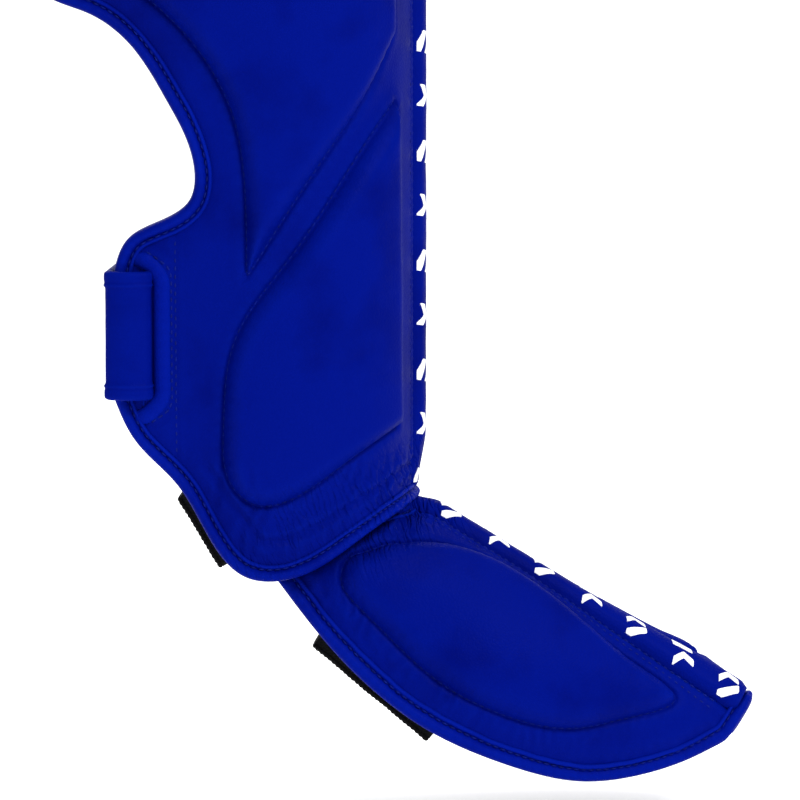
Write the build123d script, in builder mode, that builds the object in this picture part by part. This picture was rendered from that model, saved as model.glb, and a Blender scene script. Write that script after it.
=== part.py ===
"""Shin-and-instep guard: padded leather shin shell, hinged instep shell, straps and elastics.

+X points to the toe, +Y to the wearer's left, +Z up the leg.  The origin is on the leg's axis
at the height where the instep folds against the shin.
"""
from build123d import *
import os
from math import cos, sin, radians

# ---- driving dimensions, mm ----
LEATHER = 1.5                 # thickness of every leather skin
GLUE = 0.2                    # gap left between two layers that are sewn or glued
CLEAR = 0.4                   # air between a strap and what it passes
STRAP_EASE = 1.2              # more air where a strap passes the curved faces of an ear
FOOT_PAD_GAP = 1.1            # the same under the instep's pads
FOOT_GLUE = 0.4               # the same on the rolled instep
PAD_RISE = 6.5                # height of the embossed pads, foam and leather together
BAR_HALF = 10.0               # padded ridge down the front
BAR_RISE = 4.4
BAR_MARGIN = 1.0              # leather strip left on each side of the bar's foam
STRIP_SINK = 0.5              # how far the strip's edges are pressed into the seam
STRIP_FOOT = 0.8              # width of the strip's edge where it meets the skin
BAR_FOOT = -10.0              # height where the shin's bar starts, before it is trimmed
BAR_START = 3.0               # where the instep's bar starts and ends along the ridge
BAR_END = 146.0
BAR_SECTIONS = (20, 50, 80, 110, 130)
BINDING_WIDTH = 7.0
BINDING_PROUD = 1.2
REACH = 200.0                 # longer than the guard is wide, for cutting prisms
HEIGHT = 380.0                # taller than the guard

SHIN_CENTRE = -2.5            # where the side walls turn parallel, along X
SHIN_FRONT = 67.5             # front of the shin's skin, under the ridge
SHIN_POWER = 2.3              # squareness of the rounded front
SIDE_AT_ORIGIN = 59.0         # outer half-width at the origin's height
SIDE_FLARE = 0.047            # extra half-width for each mm upward
SIDE_WALL = 17.0              # the side walls' thickness ahead of the ears
EAR_THICKNESS = 9.5
EAR_MID_X = -50.0
EAR_END_X = -100.0
EAR_CURL = 6.0                # how far the ears' rear ends lean inward
# height, side thickness and front thickness of the shin's foam wall
SHIN_LEVELS = [(-45, 8.5, 9), (5, 9.5, 10), (60, 16, 22), (120, 17, 28), (200, 17, 28),
               (290, 18, 28), (370, 18, 24)]

STRAP_WIDTH = 52.0
STRAP_THICKNESS = 3.0
SLOT_LENGTH = 60.0
SLOT_WIDTH = 4.4
SLOT_INSET = 14.5             # middle of the slot ahead of the ear's rear edge
RIM_WIDTH = 4.2               # raised rim around a slot
RIM_RISE = 2.4
PATCH = 1.0                   # hook or loop tape
TAIL_LENGTH = 74.0
TAB_LENGTH = 12.0
TAB_EXTRA = 1.0               # the pull tab is this much thicker than the strap
FOLD_RADIUS = 1.9
ANCHOR_LENGTH = 24.0          # how far the strap's sewn end runs forward along the lining
ANCHOR_PATCH = 18.0
ANCHOR_EXTRA = 4.0            # the sewn patch is this much wider than the strap
RUN_SHIFT = 3.5               # the run between the ears lies this far ahead of their edges
TAIL_SHIFT = 10.2             # the free tail starts this far in from the strap's outer fold
HOOK_LENGTH = 46.0
LOOP_LENGTH = 66.0
TAPE_MARGIN = 3.0             # strap left bare beyond each edge of a tape
# name, height of the strap's middle, rear edge of the ear there
STRAPS = [("ankle", 73.5, -50.0), ("calf", 250.0, -87.0)]

FOOT_SLOPE = -31.3            # the instep's ridge against the horizontal, degrees
FOOT_START = (76.1, 0.2)      # X and Z where the instep's ridge straightens
FOOT_POWER = 2.0
FOOT_THICKNESS = 11.0
TWIST = 30.0                  # the toe end rolls towards the wearer's right, degrees
TWIST_FROM = 40.0
TWIST_LENGTH = 110.0
RIDGE_SINK = 4.0              # the skin lies this far under the top of the ridge
# distance along the ridge, half-width, and drop of the right edge below the ridge
FOOT_LEVELS = [(-42, 40, 55.4), (0, 43, 70.4), (40, 46, 76.3), (80, 47, 73.4), (110, 43, 65.7),
               (130, 35, 51.5), (145, 22, 34.8), (153, 11, 22.5)]
TOE_END = 156.0
MIDDLE_GAP = 1.0              # each side panel stops this far from the middle plane at the toe
LIMIT_ABOVE = 20.0            # the block that limits the instep reaches this far over the ridge
FLAP_HALF_WIDTH = 18.0
FLAP_FROM = -26.0             # the hinge flap's ends along the ridge
FLAP_TO = 10.0
TOE_THINNING = 26.0           # half-width below which the layers get thinner
# distance along the ridge, and the share of the half-section where the pad starts and ends
FOOT_PAD = [(0, 0.32, 0.57), (10, 0.24, 0.63), (35, 0.20, 0.68), (70, 0.20, 0.66),
            (100, 0.26, 0.60), (118, 0.34, 0.50)]

HEEL_BAND = ((-25.5, 6.0), (-8.0, -22.5))       # side view of the heel elastic, X and Z
ARCH_BAND = ((29.0, -54.0), (76.0, -93.0))      # side view of the arch elastic
HEEL_HALF_SPAN = 46.0
ARCH_HALF_SPAN = 27.5
ELASTIC = 2.2
TAB_REACH = 16.0              # how far an elastic's sewn end runs in under the shell

# straight steps that the curved sections and the instep's pads are drawn with
SHIN_STEPS = 5
FOOT_STEPS = 6
PAD_STEPS = 4


# ---- outlines in side view ----
# smooth stretches of the shin's edge, from the front of its foot end round the back to its top;
# straight stretches join them
SHIN_EDGE = [
    [(80, 7.5), (53, -8), (30, -23), (16, -27), (3, -25.5), (-14, -6), (-25.5, 13),
     (-42, 30.5), (-50, 47)],
    [(-50, 98), (-44.5, 111.6), (-31, 119.4), (-19, 128), (-17.6, 144), (-28, 168),
     (-44, 192), (-60, 203), (-78, 210.5), (-87, 221)],
    [(-87, 279), (-78, 290), (-50, 302), (0, 323), (40, 338), (80, 347)],
]

EAR_CORNERS = [(-50, 47), (-50, 98), (-87, 221), (-87, 279)]


def moved_in(points, inset):
    """Points of one stretch moved to the right of their travel, which is into the shin."""
    result = []
    last = len(points) - 1
    for index, point in enumerate(points):
        before = Vector(*points[max(index - 1, 0)])
        after = Vector(*points[min(index + 1, last)])
        ahead = (after - before).normalized()
        if point in EAR_CORNERS:
            ahead = Vector(0, 1, 0)          # the ears' rear edges run straight up
        result.append((point[0] + ahead.Y * inset, point[1] - ahead.X * inset))
    return result


def shin_outline(inset=0.0):
    """The shin's side view, open to the front so that it never cuts the nose."""
    with BuildSketch() as outline:
        with BuildLine():
            stretches = [moved_in(points, inset) for points in SHIN_EDGE]
            for stretch, following in zip(stretches, stretches[1:] + stretches[:1]):
                Spline(*stretch)
                Line(stretch[-1], following[0])
        make_face()
    return outline.sketch


def lower_pad_outline():
    with BuildSketch() as outline:
        with BuildLine():
            Line((61.5, 166), (62.2, 34))
            Spline((62.2, 34), (41, 19.2), (19, 5.6), (7.6, 4.2), (-2.9, 12.8), (-5.8, 35),
                   (-0.8, 71.8), (21, 104), (44.4, 139.3), (61.5, 166))
        make_face()
    return outline.sketch


def upper_pad_outline():
    with BuildSketch() as outline:
        with BuildLine():
            Spline((60, 194), (50, 169.5), (31, 139), (4, 97))
            Spline((4, 97), (3.8, 126), (-1.5, 163), (-23, 198), (-52, 222))
            Line((-52, 222), (-52, 284))
            Spline((-52, 284), (0, 307), (60, 330))
            Line((60, 330), (60, 194))
        make_face()
    return outline.sketch


def rear_cut_outline():
    """Side view of the space the instep may fill, below and ahead of the shin's rim."""
    with BuildSketch() as outline:
        Polygon((73, 8), (69, -3), (54, -13.5), (45, -22.5), (34, -33), (20, -38.5), (0, -44),
                (0, -150), (250, -150), (250, 8), align=None)
    return outline.sketch


def side_prism(outline, grow=0.0):
    """Side-view outline, grown or shrunk, run straight across the guard."""
    with BuildPart() as prism:
        with BuildSketch(Plane.XZ):
            add(outline)
            if grow:
                offset(amount=grow)
        extrude(amount=REACH, both=True)
    return prism.part


def trimmed(wall, outline):
    """The part of a wall that lies inside a side-view outline."""
    with BuildPart() as piece:
        add(wall)
        add(side_prism(outline), mode=Mode.INTERSECT)
    return piece.part


def one_side(side):
    """Everything on one side of the ridge; side is 1 for the left and -1 for the right."""
    seam = BAR_HALF - LEATHER
    with BuildPart() as half:
        with Locations((0, side * (seam + REACH / 2), 0)):
            Box(4 * REACH, REACH, 4 * REACH)
    return half.part


def strap_slots():
    """The openings for the two straps through the right ears."""
    with BuildPart() as slots:
        for name, height, rear in STRAPS:
            with Locations((rear + SLOT_INSET, -REACH / 2, height)):
                Box(SLOT_WIDTH, REACH, SLOT_LENGTH)
    return slots.part


# ---- sections ----
def rounded(share, power):
    """Sine and cosine of a quarter superellipse, for a share from 0 to 1 of its quarter."""
    angle = radians(90 * share)
    return max(sin(angle), 0.0) ** (2 / power), max(cos(angle), 0.0) ** (2 / power)


def closed_band(plane, first, second):
    """Face between two open curves, joined at their ends."""
    with BuildSketch(plane) as band:
        with BuildLine():
            Spline(*first)
            Spline(*second)
            Line(first[0], second[0])
            Line(first[-1], second[-1])
        make_face()
    return band.sketch


def shin_curve(level, inset, inner=False):
    """Shin section at one level, right rear to left rear; inset is towards the leg."""
    height, side_wall, front_wall = level
    width = SIDE_AT_ORIGIN + SIDE_FLARE * height - inset
    reach = SHIN_FRONT - SHIN_CENTRE - inset
    ear_wall = 0.0
    if inner:
        width -= side_wall
        reach -= front_wall
        ear_wall = EAR_THICKNESS - side_wall
    half = []
    for step in range(SHIN_STEPS + 1):
        across, ahead = rounded(step / SHIN_STEPS, SHIN_POWER)
        half.append((SHIN_CENTRE + reach * ahead, width * across))
    half.append(((SHIN_CENTRE + EAR_MID_X) / 2, width - ear_wall / 2))
    half.append((EAR_MID_X, width - ear_wall))
    half.append((EAR_END_X, width - ear_wall - EAR_CURL))
    return [(x, -y) for x, y in reversed(half[1:])] + half


def shin_wall(outer_inset, inner_inset, outer_is_inner=False, inner_is_outer=False):
    """Wall between two insets, each of the shin's outer or inner surface."""
    with BuildPart() as wall:
        bands = []
        for level in SHIN_LEVELS:
            outer = shin_curve(level, outer_inset, inner=outer_is_inner)
            inner = shin_curve(level, inner_inset, inner=not inner_is_outer)
            bands.append(closed_band(Plane.XY.offset(level[0]), outer, inner))
        loft(sections=bands)
    return wall.part


def shin_skin(outer_inset, inner_inset):
    """Layer between two insets of the shin's outer surface."""
    return shin_wall(outer_inset, inner_inset, inner_is_outer=True)


# ---- foot sections: planes square to the ridge, rolled by the twist ----
def twist_at(along):
    share = min(max((along - TWIST_FROM) / TWIST_LENGTH, 0.0), 1.0)
    return TWIST * share * share * (3 - 2 * share)


def foot_plane(along):
    """Plane square to the ridge; its local x is the wearer's left, its local y is up."""
    slope = radians(FOOT_SLOPE)
    roll = radians(twist_at(along))
    ahead = Vector(cos(slope), 0, sin(slope))
    above = Vector(-sin(slope), 0, cos(slope))
    start = Vector(FOOT_START[0], 0, FOOT_START[1]) + ahead * along
    left = Vector(0, cos(roll), 0) + above * sin(roll)
    return Plane(origin=start, x_dir=left, z_dir=ahead)


def foot_level_at(along):
    """Half-width and drop between the named levels, on straight lines."""
    for before, after in zip(FOOT_LEVELS, FOOT_LEVELS[1:]):
        if before[0] <= along <= after[0]:
            share = (along - before[0]) / (after[0] - before[0])
            return (along, before[1] + share * (after[1] - before[1]),
                    before[2] + share * (after[2] - before[2]))
    return FOOT_LEVELS[-1]


def foot_drop(level):
    """Drop of the edge before the section is rolled, so the right edge ends as low as asked."""
    along, half_width, right_drop = level
    roll = radians(twist_at(along))
    return (right_drop - half_width * sin(roll)) / cos(roll)


def foot_point(level, share, inset):
    """Point of the half-section; the layers thin out together where the toe is narrow."""
    inset *= min(level[1] / TOE_THINNING, 1.0)
    across, ahead = rounded(share, FOOT_POWER)
    top = RIDGE_SINK + inset
    return ((level[1] - inset) * across, -top - (foot_drop(level) - top) * (1 - ahead))


def foot_curve(level, inset):
    half = [foot_point(level, step / FOOT_STEPS, inset) for step in range(FOOT_STEPS + 1)]
    return [(-x, y) for x, y in reversed(half[1:])] + half


def foot_wall(outer_inset, inner_inset):
    with BuildPart() as wall:
        bands = []
        for level in FOOT_LEVELS:
            outer = foot_curve(level, outer_inset)
            inner = foot_curve(level, inner_inset)
            bands.append(closed_band(foot_plane(level[0]), outer, inner))
        loft(sections=bands)
    return wall.part


def foot_limit(trim):
    """The instep's outline as a block, held back by the trim from its edges."""
    with BuildPart() as limit:
        sections = []
        for level in FOOT_LEVELS:
            along = level[0]
            if level is FOOT_LEVELS[-1]:
                along = TOE_END - trim
            drop = foot_drop(level) - trim
            with BuildSketch(foot_plane(along)) as section:
                with Locations((0, (LIMIT_ABOVE - drop) / 2)):
                    Rectangle(REACH, drop + LIMIT_ABOVE)
            sections.append(section.sketch)
        loft(sections=sections)
        add(side_prism(rear_cut_outline(), -trim), mode=Mode.INTERSECT)
    return limit.part


def foot_piece(wall, trim):
    """The part of a wall that lies inside the instep's outline, less the trim."""
    with BuildPart() as piece:
        add(wall)
        add(foot_limit(trim), mode=Mode.INTERSECT)
    return piece.part


def foot_patch(side, outer_inset, inner_inset):
    """Pad-shaped layer on one side of the instep; side is 1 for the left, -1 for the right."""
    with BuildPart() as patch:
        bands = []
        for along, first, last in FOOT_PAD:
            level = foot_level_at(along)
            shares = [first + (last - first) * step / PAD_STEPS for step in range(PAD_STEPS + 1)]
            outer = [foot_point(level, share, outer_inset) for share in shares]
            inner = [foot_point(level, share, inner_inset) for share in shares]
            bands.append(closed_band(foot_plane(along), [(side * x, y) for x, y in outer],
                                     [(side * x, y) for x, y in inner]))
        loft(sections=bands)
    return patch.part


pieces = {}


def finish(name, builder):
    """Labels a finished piece and keeps it for writing."""
    builder.part.label = name
    pieces[name] = builder.part


# ---- shin shell ----
with BuildPart() as shin_core:
    add(trimmed(shin_wall(LEATHER + GLUE, 0), shin_outline(LEATHER)))
    add(strap_slots(), mode=Mode.SUBTRACT)
finish("shin_core", shin_core)

with BuildPart() as shin_lining:
    add(trimmed(shin_wall(GLUE, GLUE + LEATHER, outer_is_inner=True), shin_outline(LEATHER)))
    add(strap_slots(), mode=Mode.SUBTRACT)
finish("shin_lining", shin_lining)

SHIN_PADS = {"upper_pad": upper_pad_outline(), "lower_pad": lower_pad_outline()}

for side, side_name in ((1, "left"), (-1, "right")):
    for pad_name, outline in SHIN_PADS.items():
        with BuildPart() as pad:
            add(trimmed(shin_skin(-PAD_RISE, -GLUE), outline))
            add(one_side(side), mode=Mode.INTERSECT)
        finish(f"{pad_name}_{side_name}", pad)

    with BuildPart() as side_panel:
        add(trimmed(shin_skin(0, LEATHER), shin_outline(LEATHER)))
        add(one_side(side), mode=Mode.INTERSECT)
        if side < 0:
            add(strap_slots(), mode=Mode.SUBTRACT)
    finish(f"shin_side_panel_{side_name}", side_panel)


def ridge_section(plane, half_width, rise, sink):
    """Half-ellipse on a flat base; local y points away from the guard."""
    with BuildSketch(plane) as section:
        with BuildLine():
            crown = EllipticalCenterArc((0, -sink), half_width, rise + sink, arc_size=180)
            Line(crown @ 0, crown @ 1)
        make_face()
    return section.sketch


def shin_bar(half_width, rise, sink):
    """Ridge section run up the shin's front."""
    base = Plane(origin=(SHIN_FRONT, 0, BAR_FOOT), x_dir=(0, -1, 0), z_dir=(0, 0, 1))
    with BuildPart() as bar:
        extrude(to_extrude=ridge_section(base, half_width, rise, sink), amount=HEIGHT)
        add(side_prism(shin_outline(BINDING_WIDTH)), mode=Mode.INTERSECT)
    return bar.part


with BuildPart() as shin_ridge_bar:
    add(shin_bar(BAR_HALF - LEATHER - BAR_MARGIN, BAR_RISE - LEATHER - GLUE, 0))
finish("shin_ridge_bar", shin_ridge_bar)

with BuildPart() as shin_ridge_strip:
    add(shin_bar(BAR_HALF - LEATHER - GLUE, BAR_RISE, STRIP_SINK))
    add(shin_bar(BAR_HALF - LEATHER - STRIP_FOOT, BAR_RISE - LEATHER, 0), mode=Mode.SUBTRACT)
finish("shin_ridge_strip", shin_ridge_strip)

with BuildPart() as shin_edge_binding:
    add(trimmed(shin_wall(-BINDING_PROUD, GLUE + LEATHER + BINDING_PROUD), shin_outline()))
    add(side_prism(shin_outline(BINDING_WIDTH)), mode=Mode.SUBTRACT)
    add(trimmed(shin_wall(-GLUE, 2 * GLUE + LEATHER), shin_outline(LEATHER - GLUE)),
        mode=Mode.SUBTRACT)
finish("shin_edge_binding", shin_edge_binding)


# ---- instep shell ----
FOOT_INNER = FOOT_THICKNESS + FOOT_GLUE + LEATHER       # inset of the lining's inner face

with BuildPart() as instep_core:
    add(foot_piece(foot_wall(LEATHER + FOOT_GLUE, FOOT_THICKNESS), LEATHER))
finish("instep_core", instep_core)

with BuildPart() as instep_lining:
    add(foot_piece(foot_wall(FOOT_THICKNESS + FOOT_GLUE, FOOT_INNER), LEATHER))
finish("instep_lining", instep_lining)


def foot_ridge_space(half_width):
    """Block along the instep's ridge, rolled with it."""
    with BuildPart() as block:
        sections = []
        for level in FOOT_LEVELS:
            with BuildSketch(foot_plane(level[0])) as section:
                Rectangle(2 * half_width, 4 * BAR_HALF)
            sections.append(section.sketch)
        loft(sections=sections)
    return block.part


def foot_bar(half_width, rise, sink, first, last):
    """Ridge section lofted along the instep between two distances."""
    with BuildPart() as bar:
        sections = []
        for along in (first, *BAR_SECTIONS, last):
            level = foot_plane(along)
            base = Plane(origin=level.origin - level.y_dir * RIDGE_SINK, x_dir=level.x_dir,
                         z_dir=level.z_dir)
            sections.append(ridge_section(base, half_width, rise, sink))
        loft(sections=sections)
    return bar.part


for side, side_name in ((1, "left"), (-1, "right")):
    with BuildPart() as instep_pad:
        add(foot_patch(side, -PAD_RISE, -FOOT_PAD_GAP))
    finish(f"instep_pad_{side_name}", instep_pad)

    with BuildPart() as side_panel:
        add(foot_piece(foot_wall(0, LEATHER), LEATHER))
        with Locations((0, side * (REACH / 2 + MIDDLE_GAP), 0)):
            Box(4 * REACH, REACH, 4 * REACH, mode=Mode.INTERSECT)
        add(foot_ridge_space(BAR_HALF - LEATHER), mode=Mode.SUBTRACT)
    finish(f"instep_side_panel_{side_name}", side_panel)

with BuildPart() as instep_ridge_bar:
    add(foot_bar(BAR_HALF - LEATHER - BAR_MARGIN, BAR_RISE - LEATHER - GLUE, -GLUE, BAR_START,
                 BAR_END))
finish("instep_ridge_bar", instep_ridge_bar)

with BuildPart() as instep_ridge_strip:
    add(foot_bar(BAR_HALF - LEATHER - GLUE, BAR_RISE, STRIP_SINK, BAR_START, BAR_END))
    add(foot_bar(BAR_HALF - LEATHER - STRIP_FOOT, BAR_RISE - LEATHER, 0, BAR_START, BAR_END),
        mode=Mode.SUBTRACT)
finish("instep_ridge_strip", instep_ridge_strip)

with BuildPart() as instep_edge_binding:
    add(foot_piece(foot_wall(-BINDING_PROUD, FOOT_INNER + BINDING_PROUD), 0))
    add(foot_limit(BINDING_WIDTH), mode=Mode.SUBTRACT)
    add(foot_piece(foot_wall(-FOOT_GLUE, FOOT_INNER + FOOT_GLUE), LEATHER - GLUE),
        mode=Mode.SUBTRACT)
finish("instep_edge_binding", instep_edge_binding)

FLAP_DEPTH = FOOT_INNER + BINDING_PROUD + FOOT_GLUE
with BuildPart() as ankle_hinge_flap:
    with BuildSketch(foot_plane(FLAP_FROM)):
        Rectangle(2 * FLAP_HALF_WIDTH, REACH)
    extrude(amount=FLAP_TO - FLAP_FROM)
    add(foot_wall(FLAP_DEPTH, FLAP_DEPTH + LEATHER), mode=Mode.INTERSECT)
finish("ankle_hinge_flap", ankle_hinge_flap)


# ---- straps ----

def ear_face(x, height, inner):
    """Distance of an ear's outer or inner face from the middle plane."""
    face = SIDE_AT_ORIGIN + SIDE_FLARE * height
    face -= EAR_CURL * max(EAR_MID_X - x, 0) / (EAR_MID_X - EAR_END_X)
    if inner:
        forward = max(x - EAR_MID_X, 0) / (SHIN_CENTRE - EAR_MID_X)
        face -= EAR_THICKNESS + (SIDE_WALL - EAR_THICKNESS) * forward + GLUE + LEATHER
    return face


def standing_plate(path, height, width, thickness):
    """Strap on edge: a flat section swept along a path seen from above."""
    start = Plane(origin=Vector(*(path @ 0)) + Vector(0, 0, height), x_dir=(0, 0, 1),
                  z_dir=path % 0)
    with BuildPart() as plate:
        with BuildSketch(start) as section:
            Rectangle(width, thickness)
        with BuildLine(Plane.XY.offset(height)) as route:
            add(path)
        sweep(sections=section.sketch, path=route.line)
    return plate.part


for name, height, rear in STRAPS:
    slot_x = rear + SLOT_INSET
    run_x = rear + RUN_SHIFT
    anchor_x = run_x + ANCHOR_LENGTH
    lining = min(ear_face(rear, height, inner=True), ear_face(anchor_x, height, inner=True))
    anchor_y = lining - BINDING_PROUD - CLEAR - STRAP_EASE - LEATHER / 2
    inside = anchor_y - LEATHER / 2 - GLUE - STRAP_THICKNESS / 2
    outside = ear_face(slot_x, height, inner=False) + BINDING_PROUD + CLEAR
    outside += STRAP_EASE + STRAP_THICKNESS / 2
    back_x = rear - CLEAR - STRAP_THICKNESS / 2
    tail_start = TAIL_SHIFT - outside
    tape_end = tail_start + TAIL_LENGTH

    with BuildLine() as route:
        FilletPolyline((anchor_x, inside), (run_x, inside), (run_x, -inside),
                       (slot_x, -inside), (slot_x, -outside), (back_x, -outside),
                       (back_x, tail_start - CLEAR), radius=FOLD_RADIUS)
    with BuildPart() as strap:
        add(standing_plate(route.line, height, STRAP_WIDTH, STRAP_THICKNESS))
    finish(f"{name}_strap", strap)

    with BuildPart() as strap_tail:
        with Locations((back_x, tail_start + TAIL_LENGTH / 2, height)):
            Box(STRAP_THICKNESS, TAIL_LENGTH, STRAP_WIDTH)
    finish(f"{name}_strap_tail", strap_tail)

    hook_x = back_x + (STRAP_THICKNESS + PATCH) / 2
    with BuildPart() as hook_tape:
        with Locations((hook_x, tape_end - TAPE_MARGIN - HOOK_LENGTH / 2, height)):
            Box(PATCH, HOOK_LENGTH, STRAP_WIDTH - 2 * TAPE_MARGIN)
    finish(f"{name}_hook_tape", hook_tape)

    loop_x = run_x - (STRAP_THICKNESS + PATCH) / 2
    with BuildPart() as loop_tape:
        with Locations((loop_x, tape_end + TAPE_MARGIN - LOOP_LENGTH / 2, height)):
            Box(PATCH, LOOP_LENGTH, STRAP_WIDTH - 2 * TAPE_MARGIN)
    finish(f"{name}_loop_tape", loop_tape)

    with BuildPart() as pull_tab:
        with Locations((back_x, tape_end + GLUE + TAB_LENGTH / 2, height)):
            Box(STRAP_THICKNESS + TAB_EXTRA, TAB_LENGTH, STRAP_WIDTH - 4 * TAPE_MARGIN)
    finish(f"{name}_pull_tab", pull_tab)

    with BuildPart() as anchor:
        with Locations((anchor_x - ANCHOR_PATCH / 2, anchor_y, height)):
            Box(ANCHOR_PATCH, LEATHER, STRAP_WIDTH + ANCHOR_EXTRA)
    finish(f"{name}_strap_anchor", anchor)

    with BuildPart() as slot_rim:
        with BuildSketch(Plane.XZ):
            with Locations((slot_x, height)):
                RectangleRounded(SLOT_WIDTH + 2 * RIM_WIDTH, SLOT_LENGTH + 2 * RIM_WIDTH,
                                 RIM_WIDTH)
                Rectangle(SLOT_WIDTH, SLOT_LENGTH, mode=Mode.SUBTRACT)
            with Locations((slot_x - SLOT_WIDTH / 2 - RIM_WIDTH, height)):
                Rectangle(2 * RIM_WIDTH, REACH, mode=Mode.SUBTRACT)
        extrude(amount=REACH)
        add(shin_skin(-RIM_RISE, -GLUE), mode=Mode.INTERSECT)
        add(side_prism(shin_outline(BINDING_WIDTH + CLEAR)), mode=Mode.INTERSECT)
    finish(f"{name}_slot_rim", slot_rim)


# ---- elastics ----

def side_strip(line, width, shift):
    """Rectangle in side view along a line, shifted to the upper right by its thickness."""
    start, end = Vector(*line[0], 0), Vector(*line[1], 0)
    ahead = (end - start).normalized()
    across = Vector(-ahead.Y, ahead.X, 0)
    corners = [start + across * shift, end + across * shift,
               end + across * (shift + width), start + across * (shift + width)]
    with BuildSketch() as strip:
        Polygon(*[(corner.X, corner.Y) for corner in corners], align=None)
    return strip.sketch


for name, line, half_span in (("heel", HEEL_BAND, HEEL_HALF_SPAN),
                              ("arch", ARCH_BAND, ARCH_HALF_SPAN)):
    with BuildPart() as elastic:
        with BuildSketch(Plane.XZ):
            add(side_strip(line, ELASTIC, -ELASTIC / 2))
        extrude(amount=half_span, both=True)
    finish(f"{name}_elastic", elastic)
    for side, side_name in ((1, "left"), (-1, "right")):
        with BuildPart() as sewn_end:
            with BuildSketch(Plane.XZ.offset(-side * (half_span - ELASTIC))):
                add(side_strip(line, TAB_REACH, ELASTIC / 2 + GLUE))
            extrude(amount=-side * ELASTIC)
        finish(f"{name}_elastic_end_{side_name}", sewn_end)


os.makedirs("parts", exist_ok=True)
for name, part in pieces.items():
    export_step(part, f"parts/{name}.step")
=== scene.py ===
"""Looks of the shin-and-instep guard: leather shells, pads, bindings, straps, elastics, thread.

Shapes are worked out in millimetres in the part's own frame and scaled to metres as meshes are
made.  +X points to the toe, +Y to the wearer's left, +Z up the leg.
"""
import math

import bmesh
import bpy
import numpy as np
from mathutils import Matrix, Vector, geometry


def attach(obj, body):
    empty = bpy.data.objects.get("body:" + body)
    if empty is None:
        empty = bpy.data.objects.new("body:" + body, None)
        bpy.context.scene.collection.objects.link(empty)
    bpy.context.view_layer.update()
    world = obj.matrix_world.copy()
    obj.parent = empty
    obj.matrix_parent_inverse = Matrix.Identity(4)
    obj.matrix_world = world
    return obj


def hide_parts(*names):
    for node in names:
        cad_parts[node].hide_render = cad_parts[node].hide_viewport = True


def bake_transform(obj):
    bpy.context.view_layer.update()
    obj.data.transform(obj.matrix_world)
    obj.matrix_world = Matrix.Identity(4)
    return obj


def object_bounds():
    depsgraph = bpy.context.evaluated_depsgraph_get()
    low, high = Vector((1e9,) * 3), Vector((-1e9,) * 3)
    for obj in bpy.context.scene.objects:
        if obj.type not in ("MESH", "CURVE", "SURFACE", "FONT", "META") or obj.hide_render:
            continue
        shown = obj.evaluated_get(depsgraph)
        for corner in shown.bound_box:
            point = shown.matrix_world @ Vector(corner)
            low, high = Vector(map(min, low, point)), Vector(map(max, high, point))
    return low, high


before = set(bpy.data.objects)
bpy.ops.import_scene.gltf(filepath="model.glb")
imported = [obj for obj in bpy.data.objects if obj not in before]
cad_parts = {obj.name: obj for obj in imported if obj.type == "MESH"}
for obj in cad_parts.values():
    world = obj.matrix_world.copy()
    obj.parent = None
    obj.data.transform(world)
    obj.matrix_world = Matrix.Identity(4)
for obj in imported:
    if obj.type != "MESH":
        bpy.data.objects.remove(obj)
CAD_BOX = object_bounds()

MM = 0.001
GRID = 1.5            # spacing of the leather's mesh points, mm
LINING_GRID, FOAM_GRID = 2.4, 3.6       # the same for the lining and the foam
DENSE_STEP = 1.2                        # spacing of the extra points along a stitched line
DENSE_ROWS = (0.0, 0.65, -0.65, 1.3, -1.3, 2.1, -2.1, 3.0, -3.0)    # their rows beside it
DENSE_CELL = 0.62                       # extra points closer together than this are thinned
DENSE_REACH = 3.6                       # the plain points stay this far from a stitched line
RIGHT, LEFT = -1, 1
SIDES = ((LEFT, "left"), (RIGHT, "right"))
TURN = math.tau
LEFTWARD = np.array((0.0, 1.0, 0.0))

# ---- the guard's measures, mm, as in the part ----
SHIN_CENTRE, SHIN_FRONT, SHIN_POWER = -2.5, 67.5, 2.3
SIDE_AT_ORIGIN, SIDE_FLARE = 59.0, 0.047
EAR_THICKNESS, EAR_MID_X, EAR_END_X, EAR_CURL = 9.5, -50.0, -100.0, 6.0
SIDE_WALL = 17.0                        # thickness of the side walls ahead of the ears
SHIN_HEIGHTS = (-45, 5, 60, 120, 200, 290, 370)
SHIN_SIDES = (8.5, 9.5, 16, 17, 17, 18, 18)
SHIN_FRONTS = (9, 10, 22, 28, 28, 28, 24)
SHIN_EDGE = [
    [(80, 7.5), (53, -8), (30, -23), (16, -27), (3, -25.5), (-14, -6), (-25.5, 13),
     (-42, 30.5), (-50, 47)],
    [(-50, 98), (-44.5, 111.6), (-31, 119.4), (-19, 128), (-17.6, 144), (-28, 168),
     (-44, 192), (-60, 203), (-78, 210.5), (-87, 221)],
    [(-87, 279), (-78, 290), (-50, 302), (0, 323), (40, 338), (80, 347)],
]
LOWER_PAD = [
    [(61.5, 166), (62.2, 34)],
    [(62.2, 34), (41, 19.2), (19, 5.6), (7.6, 4.2), (-2.9, 12.8), (-5.8, 35), (-0.8, 71.8),
     (21, 104), (44.4, 139.3), (61.5, 166)],
]
UPPER_PAD = [
    [(60, 194), (50, 169.5), (31, 139), (4, 97)],
    [(4, 97), (3.8, 126), (-1.5, 163), (-23, 198), (-52, 222)],
    [(-52, 222), (-52, 284)],
    [(-52, 284), (0, 307), (60, 330)],
    [(60, 330), (60, 194)],
]
LEATHER = 1.5
LINING_LAYER, LINING_CLOTH = 1.7, 1.2   # the lining with its glue, and its cloth alone
FOAM_TOP, FOAM_FOOT = 2.6, 1.6          # the foam stops this far from leather and inner face
PAD_HEIGHT = 6.5
BAR_RISE = 4.4                          # height of the padded ridge strips
CLEAR, BINDING_PROUD = 0.4, 1.2
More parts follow.
